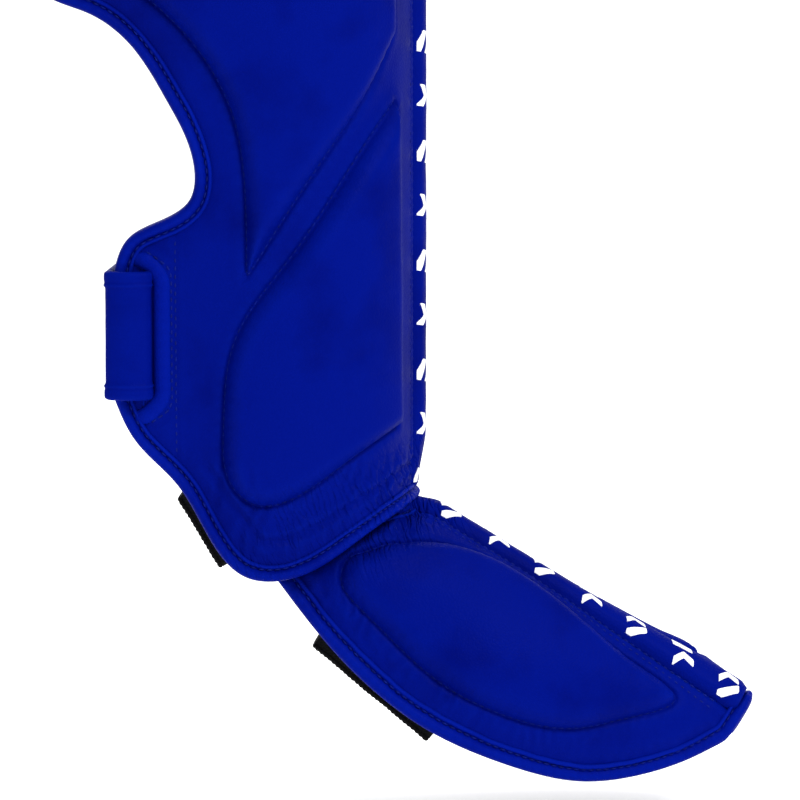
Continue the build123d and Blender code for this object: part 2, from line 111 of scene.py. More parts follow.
# each strap's name, the height of its middle and the ear's rear edge there
STRAPS = (("ankle", 73.5, -50.0), ("calf", 250.0, -87.0))
STRAP_WIDTH, STRAP_THICKNESS, STRAP_EASE = 52.0, 3.0, 1.2
STRAP_BOW = 2.2                         # how far the run over the right ear bows out
FOLD_RADIUS, RUN_SHIFT, ANCHOR_LENGTH, ANCHOR_PATCH = 1.9, 3.5, 24.0, 18.0
HOOK_LENGTH, LOOP_LENGTH, TAPE_MARGIN = 46.0, 66.0, 3.0
PATCH, TAB_LENGTH = 1.0, 12.0           # thickness of the tapes, and the pull tab's length
BLEND_SPAN = 9.0                        # a span along a strap's tail, mm; the tail is not bent over it
SLOT_INSET, SLOT_WIDTH, SLOT_LENGTH = 14.5, 4.4, 60.0
RIM_HALF, RIM_RISE, RIM_REACH = 3.5, 2.1, 5.1    # roll round a slot: size, place ahead of it
TAIL_LENGTH, TAIL_OFFSET = 74.0, 10.2

# ---- thread and print ----
THREAD_HALF, THREAD_RINGS, THREAD_SIDES = 0.36, 6, 6
STITCH_PITCH, STITCH_SHARE = 3.3, 0.76  # from stitch to stitch, and the thread's share of it
SEAM_ROWS = (1.7, 5.2)                  # rows of stitches beside a ridge strip
LIP_ROW = 5.15                          # row through a binding, from the shell's edge
SLOT_ROW_AHEAD, SLOT_ROW_HALF = 10.7, 50.0       # straight row ahead of a slot
MARK_WIDTH, MARK_HEIGHT, MARK_THICK, MARK_STEP = 6.4, 8.8, 3.2, 22.4
PRINT_MARGIN = 0.9                      # strip left bare beyond the print


# ---- curves ----
def travelled(points):
    """Distance from the start of a polyline to each of its points."""
    steps = np.linalg.norm(np.diff(points, axis=0), axis=1)
    return np.concatenate([[0], np.cumsum(steps)])


def spline(points, step):
    """Smooth curve through the points, sampled about every step mm."""
    points = np.array(points, float)
    knots = travelled(points)
    count = max(int(knots[-1] / step), 1) + 1
    at = np.linspace(0, knots[-1], count)
    if len(points) == 2:
        return points[0] + (points[1] - points[0]) * (at / knots[-1])[:, None]
    gaps = np.diff(knots)
    size = len(points)
    system = np.zeros((size, size))
    right = np.zeros((size, points.shape[1]))
    system[0, 0] = system[-1, -1] = 1
    for i in range(1, size - 1):
        system[i, i - 1], system[i, i + 1] = gaps[i - 1], gaps[i]
        system[i, i] = 2 * (gaps[i - 1] + gaps[i])
        slopes = np.diff(points, axis=0) / gaps[:, None]
        right[i] = 6 * (slopes[i] - slopes[i - 1])
    bend = np.linalg.solve(system, right)
    span = np.clip(np.searchsorted(knots, at, side="right") - 1, 0, size - 2)
    gap = gaps[span][:, None]
    before, after = (at - knots[span])[:, None], (knots[span + 1] - at)[:, None]
    return (bend[span] * after ** 3 / (6 * gap) + bend[span + 1] * before ** 3 / (6 * gap)
            + (points[span] / gap - bend[span] * gap / 6) * after
            + (points[span + 1] / gap - bend[span + 1] * gap / 6) * before)


def joined(stretches, step, closed=False):
    """One polyline from several stretches, joined end to end."""
    parts = [spline(points, step) for points in stretches]
    line = [parts[0]]
    for part in parts[1:]:
        if np.linalg.norm(line[-1][-1] - part[0]) > 0.5:
            line.append(spline([line[-1][-1], part[0]], step)[1:])
        line.append(part[1:])
    line = np.vstack(line)
    if closed and np.linalg.norm(line[0] - line[-1]) < 0.3:
        line = line[:-1]
    return line


def resampled(line, step, closed=False):
    """The same polyline with even spacing."""
    if closed:
        line = np.vstack([line, line[:1]])
    lengths = travelled(line)
    count = max(int(round(lengths[-1] / step)), 2)
    at = np.linspace(0, lengths[-1], count + 1)
    if closed:
        at = at[:-1]
    return np.stack([np.interp(at, lengths, line[:, k]) for k in range(line.shape[1])], axis=1)


def to_line(points, line):
    """Distance from each point to a closed polyline, and how far along it the nearest place is."""
    across = np.roll(line, -1, axis=0) - line
    lengths = np.linalg.norm(across, axis=1)
    begun = np.concatenate([[0], np.cumsum(lengths)])[:-1]
    best = np.full(len(points), 1e9)
    along = np.zeros(len(points))
    for start, step, length, before in zip(line, across, lengths, begun):
        if length < 1e-9:
            continue
        share = np.clip((points - start) @ step / length ** 2, 0, 1)
        gap = np.linalg.norm(points - start - share[:, None] * step, axis=1)
        nearer = gap < best
        best[nearer] = gap[nearer]
        along[nearer] = before + share[nearer] * length
    return best, along


def inside(points, line):
    """Whether each point is inside a closed polyline."""
    x, y = points[:, 0], points[:, 1]
    result = np.zeros(len(points), bool)
    ahead = np.roll(line, -1, axis=0)
    for (x0, y0), (x1, y1) in zip(line, ahead):
        if y0 == y1:
            continue
        crosses = (y0 > y) != (y1 > y)
        result ^= crosses & (x < (x1 - x0) * (y - y0) / (y1 - y0) + x0)
    return result


def smooth(value):
    value = np.clip(value, 0, 1)
    return value * value * (3 - 2 * value)


def bell(distance, width):
    """One at no distance, falling off smoothly over the width."""
    return np.exp(-(distance / width) ** 2)


def clear_of(points, loop, gap):
    """Those of the points that are further than the gap from a closed outline."""
    near, _ = to_line(points, loop)
    return points[near > gap]


def within_region(points, loops):
    """Those of the points that are inside the first outline and outside the others."""
    keep = inside(points, loops[0])
    for loop in loops[1:]:
        keep &= ~inside(points, loop)
    return points[keep]


def clipped(loop, axis, limit, side=1):
    """The part of a closed outline where side times one coordinate is beyond a limit."""
    points = []
    for here, there in zip(loop, np.roll(loop, -1, axis=0)):
        a, b = side * here[axis] - limit, side * there[axis] - limit
        if a >= 0:
            points.append(here)
        if a * b < 0:
            points.append(here + (there - here) * (a / (a - b)))
    return np.array(points)


def signed_area(loop):
    """Twice a closed outline's area, positive when it runs anticlockwise."""
    x, y = loop[:, 0], loop[:, 1]
    return np.sum(x * np.roll(y, -1) - y * np.roll(x, -1))


def ripple(*coordinates, seed=0, octaves=3):
    """Smooth noise from -1 to 1 made of turned sine waves, the same on every run."""
    random = np.random.default_rng(seed)
    total = 0.0
    for octave in range(octaves):
        for _ in range(4):
            turn = random.normal(size=len(coordinates))
            turn /= np.linalg.norm(turn)
            wave = sum(t * c for t, c in zip(turn, coordinates)) * 2 ** octave * TURN
            total = total + np.sin(wave + random.uniform(0, TURN)) / (4 * 1.6 ** octave)
    return total


# ---- meshes ----
def metres(point):
    return tuple(MM * c for c in point)


def add_object(name, data):
    made = bpy.data.objects.new(name, data)
    bpy.context.scene.collection.objects.link(made)
    return made


def new_mesh(name, points, faces):
    """Smooth-shaded object from points in mm."""
    mesh = bpy.data.meshes.new(name)
    mesh.from_pydata((np.asarray(points, float) * MM).tolist(), [], faces)
    mesh.validate()
    mesh.polygons.foreach_set("use_smooth", [True] * len(mesh.polygons))
    return add_object(name, mesh)


def grid_faces(rows, columns, wrap_rows=False, wrap_columns=False):
    """Quads of a grid of points stored row by row."""
    faces = []
    for i in range(rows if wrap_rows else rows - 1):
        here, ahead = i * columns, (i + 1) % rows * columns
        for j in range(columns if wrap_columns else columns - 1):
            beside = (j + 1) % columns
            faces.append((here + j, here + beside, ahead + beside, ahead + j))
    return faces


def thinned(points, cell):
    """One point from each square cell."""
    keys = np.round(points / cell).astype(int)
    _, first = np.unique(keys, axis=0, return_index=True)
    return points[np.sort(first)]


def dense_near(loops):
    """Rows of points beside stitched lines, so that their grooves come out sharp."""
    return np.vstack([moved_in(resampled(loop, DENSE_STEP, closed=True), offset)[0]
                      for loop in loops for offset in DENSE_ROWS])


def fill_region(outer, holes, spacing, guides=()):
    """Triangles inside a closed outline and outside its holes, finer beside the guide lines."""
    loops = [resampled(line, spacing, closed=True) for line in (outer, *holes)]
    low, high = loops[0].min(axis=0), loops[0].max(axis=0)
    row = spacing * math.sqrt(3) / 2
    ys = np.arange(low[1], high[1] + row, row)
    xs = np.arange(low[0], high[0] + spacing, spacing)
    grid = np.array([(x + (k % 2) * spacing / 2, y) for k, y in enumerate(ys) for x in xs])
    grid = within_region(grid, loops)
    if len(guides):
        rows = thinned(within_region(dense_near(guides), loops), DENSE_CELL)
        for line in guides:
            grid = clear_of(grid, line, DENSE_REACH)
        grid = np.vstack([rows, grid])
    for loop in loops:
        grid = clear_of(grid, loop, 0.5 * spacing)
    points, edges = [], []
    for loop in loops:
        first = len(points)
        points += [Vector(p) for p in loop]
        edges += [(first + k, first + (k + 1) % len(loop)) for k in range(len(loop))]
    points += [Vector(p) for p in grid]
    found = geometry.delaunay_2d_cdt(points, edges, [], 4, 1e-6)
    flat = np.array([tuple(p) for p in found[0]])
    triangles = []
    for face in found[2]:
        b, c = flat[face[1]] - flat[face[0]], flat[face[2]] - flat[face[0]]
        turned = b[0] * c[1] - b[1] * c[0]
        triangles.append(tuple(face) if turned > 0 else tuple(reversed(face)))
    return flat, triangles


def open_edges(faces):
    """Directed edges that only one face uses."""
    seen = {}
    for face in faces:
        for a, b in zip(face, face[1:] + face[:1]):
            if (b, a) in seen:
                del seen[(b, a)]
            else:
                seen[(a, b)] = True
    return list(seen)


def layered(top, bottom, faces):
    """Points and faces of the closed solid between two layers that share their faces."""
    count = len(top)
    solid = list(faces) + [tuple(v + count for v in reversed(face)) for face in faces]
    solid += [(b, a, a + count, b + count) for a, b in open_edges(faces)]
    return np.vstack([top, bottom]), solid


def shell(name, top, bottom, faces):
    """Closed solid between two layers of points."""
    return new_mesh(name, *layered(top, bottom, faces))


def loft_rings(name, rings, closed_path=False):
    """Solid through rings of points; each ring is a closed section, capped at open ends."""
    rows, columns = len(rings), len(rings[0])
    faces = grid_faces(rows, columns, wrap_rows=closed_path, wrap_columns=True)
    if not closed_path:
        faces.append(tuple(range(columns)))
        faces.append(tuple(reversed(range((rows - 1) * columns, rows * columns))))
    return face_out(new_mesh(name, np.vstack(rings), faces))


def face_out(piece):
    """Turn every face of a closed piece outwards."""
    work = bmesh.new()
    work.from_mesh(piece.data)
    bmesh.ops.recalc_face_normals(work, faces=work.faces)
    work.to_mesh(piece.data)
    work.free()
    return piece


def unit(vectors):
    return vectors / np.maximum(np.linalg.norm(vectors, axis=-1, keepdims=True), 1e-9)


# ---- the shin's surface: q runs round the section from the nose, left positive; z is the height ----
REFERENCE = 66.0                        # half-width of the section that q is measured on


def power_turn(angle):
    """Forward and sideways shares of the rounded nose, at an angle from straight ahead."""
    return (np.abs(np.cos(angle)) ** (2 / SHIN_POWER), np.abs(np.sin(angle)) ** (2 / SHIN_POWER))


def nose_table():
    """Arc length round the reference section against the angle, to the end of the rounded nose."""
    angles = np.linspace(0, 1, 1200) ** 1.6 * math.pi / 2
    ahead, across = power_turn(angles)
    steps = np.hypot(np.diff((SHIN_FRONT - SHIN_CENTRE) * ahead), np.diff(REFERENCE * across))
    return np.concatenate([[0], np.cumsum(steps)]), angles


NOSE_ARC, NOSE_ANGLE = nose_table()
NOSE_END = NOSE_ARC[-1]


def q_at(x):
    """Distance round the section for a place along X in side view."""
    x = np.asarray(x, float)
    ahead = np.clip((x - SHIN_CENTRE) / (SHIN_FRONT - SHIN_CENTRE), 0, 1)
    angle = np.arccos(np.clip(ahead, 0, 1) ** (SHIN_POWER / 2))
    return np.where(x > SHIN_CENTRE, np.interp(angle, NOSE_ANGLE, NOSE_ARC),
                    NOSE_END + SHIN_CENTRE - x)


def shin_base(q, z):
    """Point on the shin's outer surface."""
    round_q = np.abs(q)
    angle = np.interp(round_q, NOSE_ARC, NOSE_ANGLE)
    ahead, across = power_turn(angle)
    behind = np.maximum(round_q - NOSE_END, 0)
    width = SIDE_AT_ORIGIN + SIDE_FLARE * z
    lean = EAR_CURL * (np.maximum(behind + EAR_MID_X - SHIN_CENTRE, 0)
                       / (EAR_MID_X - EAR_END_X)) ** 1.25
    x = SHIN_CENTRE + (SHIN_FRONT - SHIN_CENTRE) * ahead - behind
    y = np.sign(q) * (width * across - lean)
    return np.stack([x, y, z + 0 * x], axis=-1)


def shin_normal(q, z):
    """Outward direction of the shin's outer surface."""
    step = 0.6
    across = shin_base(q + step, z) - shin_base(q - step, z)
    up = shin_base(q, z + step) - shin_base(q, z - step)
    flat = np.abs(q) < step
    across = np.where(flat[..., None], LEFTWARD, across)
    return unit(np.cross(across, up))


def shin_at(flat, height):
    """Points at a height above the shin's surface, for places (q, z)."""
    q, z = flat[:, 0], flat[:, 1]
    return shin_base(q, z) + shin_normal(q, z) * np.asarray(height)[..., None]


# ---- the instep's surface: u runs along the ridge, a round the half-section, left positive ----
FOOT_SLOPE = math.radians(31.3)         # the ridge falls towards the toe
FOOT_START = np.array([76.1, 0.0, 0.2])
AHEAD = np.array([math.cos(FOOT_SLOPE), 0, -math.sin(FOOT_SLOPE)])
ABOVE = np.array([math.sin(FOOT_SLOPE), 0, math.cos(FOOT_SLOPE)])
FOOT_PLACES = np.array([-42, 0, 40, 80, 110, 130, 145, 153.0])
FOOT_WIDTHS = np.array([40, 43, 46, 47, 43, 35, 22, 11.0])
FOOT_DROPS = np.array([55.4, 70.4, 76.3, 73.4, 65.7, 51.5, 34.8, 22.5])
TWIST, TWIST_FROM, TWIST_LENGTH = math.radians(30), 40.0, 110.0
RIDGE_SINK = 4.0
FOOT_WALL, TOE_THINNING = 12.9, 26.0
TOE_END = 154.0
# side view of the instep's rear edge: it runs in behind the shin's rim
REAR_EDGE = [(66, 9), (63, 1.5), (54, 0.5), (42, -3), (30, -10), (16, -16.5), (0, -18)]
RIM_LINE = np.array(SHIN_EDGE[0][:5], float)[::-1]    # the shin's rim above it, X rising
TUCK = 5.5                              # how far the tucked leather lies in under the shin's rim
FRONT_DROP = 3.0                        # the instep's ridge dips this much where it folds
FOOT_TABLE = spline(np.stack([FOOT_PLACES, FOOT_WIDTHS, FOOT_DROPS], axis=1), 1.0)


def foot_size(u):
    """Half-width, drop, roll and layer scale of the instep's section."""
    width = np.interp(u, FOOT_TABLE[:, 0], FOOT_TABLE[:, 1])
    right_drop = np.interp(u, FOOT_TABLE[:, 0], FOOT_TABLE[:, 2])
    roll = TWIST * smooth((u - TWIST_FROM) / TWIST_LENGTH)
    drop = (right_drop - width * np.sin(roll)) / np.cos(roll)
    return width, drop, roll, np.minimum(width / TOE_THINNING, 1)


def foot_base(u, share, inset=0.0):
    """Point on the instep's surface; share runs from -1, right edge, to 1, left edge."""
    width, drop, roll, scale = foot_size(u)
    inset = inset * scale
    angle = np.abs(share) * math.pi / 2
    top = RIDGE_SINK + inset
    left = np.sign(share) * (width - inset) * np.sin(angle)
    up = -top - (drop - top) * (1 - np.cos(angle))
    side = left * np.cos(roll) - up * np.sin(roll)
    rise = left * np.sin(roll) + up * np.cos(roll)
    return (FOOT_START + AHEAD * u[..., None] + ABOVE * rise[..., None]
            + LEFTWARD * side[..., None])


def foot_length(u):
    """Arc length of the half-section."""
    shares = np.linspace(0, 1, 25)
    grid_u = np.repeat(np.asarray(u, float)[:, None], len(shares), axis=1)
    points = foot_base(grid_u, np.broadcast_to(shares, grid_u.shape))
    return np.linalg.norm(np.diff(points, axis=1), axis=2).sum(axis=1)


FOOT_U = np.linspace(-44, 156, 101)
FOOT_ARC = foot_length(FOOT_U)


def foot_share(flat):
    """Share of the half-section for places (u, a)."""
    return flat[:, 1] / np.interp(flat[:, 0], FOOT_U, FOOT_ARC)


def foot_normal(u, share):
    """Outward direction of the instep's surface."""
    step, turn = 0.8, 0.01
    along = foot_base(u + step, share) - foot_base(u - step, share)
    low, high = share - turn, share + turn
    across = foot_base(u, high) - foot_base(u, low)
    near = np.abs(share) < turn
    _, _, roll, _ = foot_size(u)
    level = LEFTWARD * np.cos(roll)[..., None] + ABOVE * np.sin(roll)[..., None]
    across = np.where(near[..., None], level, across)
    return unit(np.cross(along, across))


def tucked(base, u):
    """How deep the leather lies where it runs in behind the shin's rim, and at the front fold."""
    rim = np.interp(base[:, 0], RIM_LINE[:, 0], RIM_LINE[:, 1])
    front = smooth((base[:, 0] - 60) / 5)
    return (TUCK * smooth((base[:, 2] - rim + 3.5) / 8) * (1 - front)
            + FRONT_DROP * smooth((2 - u) / 11) * front)


def foot_at(flat, height):
    """Points at a height above the instep's surface, for places (u, a)."""
    share = foot_share(flat)
    base = foot_base(flat[:, 0], share)
    lift = np.asarray(height) - tucked(base, flat[:, 0])
    return base + foot_normal(flat[:, 0], share) * lift[..., None]


def foot_place(x, z, side):
    """Place (u, a) on one side of the instep that is seen at X and Z in side view."""
    spot = np.array([x, 0, z]) - FOOT_START
    u, height = spot @ AHEAD, spot @ ABOVE
    shares = np.linspace(0, 1.02, 400)
    points = foot_base(np.full(400, u), side * shares) - FOOT_START
    share = np.interp(-height, -(points @ ABOVE), shares)
    return u, side * share * np.interp(u, FOOT_U, FOOT_ARC)


# ---- edges and layers ----
SEAM = 8.6                              # the ridge strip's half-width
EDGE_THICKNESS = 5.6                    # leather to lining at the bound edges
EAR_DROP = 8.0                          # the left ankle ear is cut this much lower on top
LAYER_INSET = 1.8                       # the layers stop this far inside the binding


def shin_edge_loop():
    """Closed edge of the shin shell as places (q, z), left side first, from the foot end up."""
    line = joined(SHIN_EDGE, 0.3)
    line = line[line[:, 0] < SHIN_FRONT - 0.02]
    half = np.stack([q_at(line[:, 0]), line[:, 1]], axis=1)
    left = half.copy()
    notch = smooth((-8 - line[:, 0]) / 14) * smooth((170 - line[:, 1]) / 30)
    left[:, 1] -= EAR_DROP * notch * smooth((line[:, 1] - 96) / 12)
    return resampled(np.vstack([left, half[::-1] * [-1, 1]]), 1.2, closed=True)


def rounded_loop(loop, reach):
    """Closed loop with its corners eased over a few mm."""
    loop = resampled(loop, 1.0, closed=True)
    span = int(reach * 3)
    weights = np.exp(-0.5 * (np.arange(-span, span + 1) / reach) ** 2)
    weights /= weights.sum()
    return sum(w * np.roll(loop, k, axis=0) for w, k in zip(weights, range(-span, span + 1)))


def foot_edge_loop():
    """Closed edge of the instep as places (u, a), up the right rear cut and down the left."""
    cut = resampled(np.array(REAR_EDGE, float), 1.0)
    sides = {}
    for side in (RIGHT, LEFT):
        places = np.array([foot_place(x, z, side) for x, z in cut])
        arc = np.interp(places[:, 0], FOOT_U, FOOT_ARC)
        on_shell = (np.abs(places[:, 1]) > 0.4) & (np.abs(places[:, 1]) < arc)
        sides[side] = places[on_shell]
    u = np.linspace(sides[LEFT][-1, 0] + 1, TOE_END, 160)
    arc = np.interp(u, FOOT_U, FOOT_ARC)
    left, right = np.stack([u, arc], axis=1), np.stack([u, -arc], axis=1)
    loop = np.vstack([sides[RIGHT][::-1], sides[LEFT], left, right[::-1]])
    return resampled(rounded_loop(loop, 3.5), 1.2, closed=True)


def moved_in(loop, inset):
    """Closed loop moved towards its inside, and the directions that lead there."""
    ahead = unit(np.roll(loop, -1, axis=0) - np.roll(loop, 1, axis=0))
    inward = np.stack([-ahead[:, 1], ahead[:, 0]], axis=1) * np.sign(signed_area(loop))
    return loop + inward * np.asarray(inset).reshape(-1, 1), inward


SHIN_LOOP = shin_edge_loop()
FOOT_LOOP = foot_edge_loop()


def to_domain(outline, side):
    """Side-view outline on one side of the shin as places (q, z)."""
    line = joined(outline, 0.4, closed=True)
    return resampled(np.stack([side * q_at(line[:, 0]), line[:, 1]], axis=1), 1.0, closed=True)


SHIN_PADS = {side: [to_domain(LOWER_PAD, side), to_domain(UPPER_PAD, side)]
             for side in (RIGHT, LEFT)}

# the instep pad in the foot's own side view: distance along the ridge, height above its top
FOOT_PAD = [(-14, -29), (-8, -22), (0, -16.5), (9, -12.2), (25, -8.4), (50, -7.4), (70, -8.8),
            (105, -12.9), (122, -14.4), (126.5, -16.4), (124.5, -21), (117, -28.7), (108, -37),
            (100, -44),
            (90, -49.7), (80, -53), (66, -55.6), (35, -56.5), (5, -50.5), (-8, -47.5),
            (-15, -44.5), (-18, -40), (-18.2, -33)]


def foot_pad_loop(side):
    """The instep pad as places (u, a); both sides are cut alike, as seen on the right."""
    line = spline(FOOT_PAD + [FOOT_PAD[0]], 1.0)[:-1]
    places = []
    for u, height in line:
        spot = FOOT_START + AHEAD * u + ABOVE * height
        places.append(foot_place(spot[0], spot[2], RIGHT))
    loop = rounded_loop(np.array(places), 2.0)
    return loop * [1, -side]


FOOT_PADS = {side: [foot_pad_loop(side)] for side in (RIGHT, LEFT)}


def slot_loop(height, rear):
    """Strap slot through the right ear as places (q, z), with rounded ends."""
    middle = -(NOSE_END + SHIN_CENTRE - (rear + SLOT_INSET))
    half_width, half_length = SLOT_WIDTH / 2, SLOT_LENGTH / 2
    turn = np.linspace(0, math.pi, 13)
    top = np.stack([half_width * np.cos(turn), half_length - half_width
                    + half_width * np.sin(turn)], axis=1)
    return np.vstack([top, -top]) + [middle, height]


SLOTS = {name: slot_loop(height, rear) for name, height, rear in STRAPS}


def full_wall(flat):
    """Full thickness of the shin from leather to lining."""
    q, z = np.abs(flat[:, 0]), flat[:, 1]
    front = np.interp(z, SHIN_HEIGHTS, SHIN_FRONTS)
    side = np.interp(z, SHIN_HEIGHTS, SHIN_SIDES)
    wall = front + (side - front) * smooth(q / NOSE_END)
    wall += (EAR_THICKNESS - wall) * smooth((q - NOSE_END) / (SHIN_CENTRE - EAR_MID_X))
    return wall + LEATHER


def shin_depth(flat, near):
    """Depth of the lining's inner face: the shell thins towards its bound edge."""
    wall = full_wall(flat)
    return EDGE_THICKNESS + (wall - EDGE_THICKNESS) * smooth((near - 2) / 24)


def foot_depth(flat, near):
    """The same for the instep, thinner at the toe."""
    thin = np.minimum(np.interp(flat[:, 0], FOOT_U, FOOT_ARC) / 60, 1)
    wall = EDGE_THICKNESS + (FOOT_WALL - EDGE_THICKNESS) * thin
    return EDGE_THICKNESS + (wall - EDGE_THICKNESS) * smooth((near - 2) / 20)


# ---- heights of the leather over the shells ----
def embossed(flat, loop, rise, seed):
    """Raised pad inside a stitched outline, with its groove and the gathers along it."""
    gap, along = to_line(flat, loop)
    within = inside(flat, loop)
    into = np.where(within, gap, 0)
    shoulder = 1 - (1 - np.clip(into / 8.0, 0, 1)) ** 2.2
    crown = smooth(into / 34)
    height = within * (rise * shoulder + 1.0 * crown)
    height -= 1.15 * bell(gap, 0.8)
    outside = np.where(within, 0, gap)
    height += 0.45 * (outside > 0) * bell(outside - 3.4, 2.4)
    gather = np.sin(TURN * along / 5.4 + 1.6 * ripple(along / 40, seed=seed))
    return height + 0.16 * gather * bell(gap - 2.2, 1.6)


def seam_height(beside, along):
    """Folded leather edge along the ridge strip, sewn down with two rows."""
    fold = -1.5 * bell(beside + 0.2, 0.9)
    fold += 0.35 * bell(beside - 3.0, 1.6)
    for row in SEAM_ROWS:
        fold -= 0.4 * bell(beside - row, 0.6)
    return fold + 0.08 * np.sin(TURN * along / 6) * bell(beside - 3.2, 2)


def creases(x, y, angle, length, width, seed):
    """Fine creases that run along an angle, as in leather that has been bent."""
    turn = math.radians(angle)
    along = x * math.cos(turn) + y * math.sin(turn)
    across = -x * math.sin(turn) + y * math.cos(turn)
    wander = across / width + 1.1 * ripple(along / length, across / length, seed=seed)
    strength = 0.55 + 0.6 * ripple(along / length, across / (3 * width), seed=seed + 1)
    return -np.abs(np.cos(math.pi * wander)) ** 5 * np.clip(strength, 0, 1)


def shin_height(flat, side):
    """Height of the leather over one side of the shin shell."""
    near, along_edge = to_line(flat, SHIN_LOOP)
    q, z = side * flat[:, 0], flat[:, 1]
    height = 0.30 * ripple(q / 110, z / 150, seed=4 + side)
    height += 0.05 * ripple(q / 22, z / 26, seed=9 + side)
    height -= 1.1 * (1 - smooth((near - 5.5) / 8))
    for k, pad in enumerate(SHIN_PADS[side]):
        height += embossed(flat, pad, PAD_HEIGHT, seed=20 + k)
    height += seam_height(q - SEAM, z)
    pinch = np.sin(TURN * along_edge / 7.3 + 2 * ripple(along_edge / 60, seed=31))
    height += 0.10 * pinch * bell(near - 9.5, 2.6)
    # bent leather above the foot end, and the fold that the instep pushes into it
    low = smooth((34 - z) / 22) * smooth((near - 6.5) / 3) * (1 - smooth((near - 26) / 10))
    height += 1.0 * low * creases(q, z, 104, 60, 5.6, 41)
    height += 0.6 * low * creases(q, z, 62, 50, 7.0, 44)
    fold = near - 15.5 - 1.5 * ripple(q / 70, z / 70, seed=47)
    height -= 1.3 * smooth((26 - z) / 8) * bell(fold, 1.3)
    height += 0.5 * smooth((26 - z) / 8) * bell(fold - 3.0, 2.0)
    # soft bends of the ear behind the pads
    height += 0.28 * creases(q, z, 92, 90, 21, 49) * smooth((q - 95) / 20)
    # a small pressed dent in the lower pad
    dent = np.hypot((q - q_at(38.0)) / 9, (z - 66) / 4.5)
    height -= 0.35 * np.exp(-(dent - 1) ** 2 / 0.12) * (z < 66)
    if side == RIGHT:
        for slot in SLOTS.values():
            gap, _ = to_line(flat, slot)
            height -= 0.9 * bell(gap, 2.2)
            middle = slot.mean(axis=0)
            reach = np.abs(z - middle[1])
            straight = -q - (middle[0] + SLOT_ROW_AHEAD)
            height -= 0.5 * bell(straight, 0.7) * (reach < SLOT_ROW_HALF)
            height -= 0.5 * bell(gap - 6.9, 0.8) * (-q > middle[0] - 4)
    return height


def foot_height(flat, side):
    """Height of the leather over one side of the instep."""
    near, along_edge = to_line(flat, FOOT_LOOP)
    u, a = flat[:, 0], side * flat[:, 1]
    height = 0.25 * ripple(u / 90, a / 70, seed=54 + side)
    height += 0.05 * ripple(u / 22, a / 20, seed=59 + side)
    height -= 1.0 * (1 - smooth((near - 5.5) / 7))
    rise = (PAD_HEIGHT - 0.4) * (1 - 0.62 * (side == LEFT) * smooth((u - 70) / 40))
    height += embossed(flat, FOOT_PADS[side][0], rise, seed=70)
    height += seam_height(a - SEAM, u)
    pinch = np.sin(TURN * along_edge / 6.8 + 2 * ripple(along_edge / 60, seed=81))
    height += 0.12 * pinch * bell(near - 9.5, 2.6)
    rear = smooth((4 - u) / 20)
    pad_gap, _ = to_line(flat, FOOT_PADS[side][0])
    off_pad = np.where(inside(flat, FOOT_PADS[side][0]), np.exp(-pad_gap / 5), 1)
    height += 1.0 * rear * off_pad * creases(u, a, 10, 50, 5.4, 91)
    height += 0.6 * rear * off_pad * creases(u, a, 38, 44, 6.5, 94)
    low = bell(near - 13, 6) * off_pad * smooth((a - 35) / 15)
    height += 1.1 * low * creases(u, a, 66, 60, 6.4, 97) * (1 - smooth((u - 70) / 40))
    return height + 0.5 * low * creases(u, a, 84, 50, 5.2, 101)


# ---- materials ----
# directions along and square to the line of the shin's rim, which lies this far from the origin
RIM_ALONG, RIM_AWAY, RIM_OFFSET = (0.935, 0.0, 0.355), (-0.355, 0.0, 0.935), 26.3
CREASE_SCALE = (430.0, 1.0, 95.0)       # creases are much longer than they are wide


def srgb(red, green, blue):
    """Linear colour from 0-255 screen values."""
    return tuple(((c / 255 + 0.055) / 1.055) ** 2.4 if c > 10 else c / 255 / 12.92
                 for c in (red, green, blue)) + (1,)


class Nodes:
    """A material's node tree: each call adds one node and gives the output that is used."""

    def __init__(self, name, **values):
        self.material = bpy.data.materials.new(name)
        self.material.use_nodes = True
        self.tree = self.material.node_tree
        self.shader = self.tree.nodes["Principled BSDF"]
        for key, value in values.items():
            self.shader.inputs[key.replace("_", " ")].default_value = value

    def add(self, kind, inputs, output=0, **settings):
        made = self.tree.nodes.new("ShaderNode" + kind)
        for key, value in settings.items():
            setattr(made, key, value)
        for key, value in inputs.items():
            if isinstance(value, bpy.types.NodeSocket):
                self.tree.links.new(value, made.inputs[key])
            else:
                made.inputs[key].default_value = value
        return made.outputs[output]

    def link(self, socket, key):
        self.tree.links.new(socket, self.shader.inputs[key])

    def place(self):
        return self.add("TexCoord", {}, "Object")

    def calc(self, operation, *values):
        return self.add("Math", dict(enumerate(values)), operation=operation)

    def vector(self, operation, *values):
        output = "Value" if operation == "DOT_PRODUCT" else "Vector"
        return self.add("VectorMath", dict(enumerate(values)), output, operation=operation)

    def noise(self, place, scale, detail, roughness=0.5, output="Fac"):
        return self.add("TexNoise", {"Vector": place, "Scale": scale, "Detail": detail,
                                     "Roughness": roughness}, output)

    def borders(self, place, scale):
        """Distance to the nearest border between the cells of a random pattern."""
        return self.add("TexVoronoi", {"Vector": place, "Scale": scale}, "Distance",
                        feature="DISTANCE_TO_EDGE")

    def remap(self, value, low, high, to_low=0.0, to_high=1.0):
        return self.add("MapRange", {"Value": value, "From Min": low, "From Max": high,
                                     "To Min": to_low, "To Max": to_high})

    def ramp(self, factor, *stops):
        socket = self.add("ValToRGB", {"Fac": factor}, "Color")
        elements = socket.node.color_ramp.elements
        while len(elements) < len(stops):
            elements.new(0.5)
        for element, (position, colour) in zip(elements, stops):
            element.position = position
            element.color = colour
        return socket

    def bump(self, height, strength, distance, **normal):
        """Bump from a height, on top of another normal if one is given."""
        return self.add("Bump", {"Strength": strength, "Distance": distance, "Height": height,
                                 **normal}, "Normal")


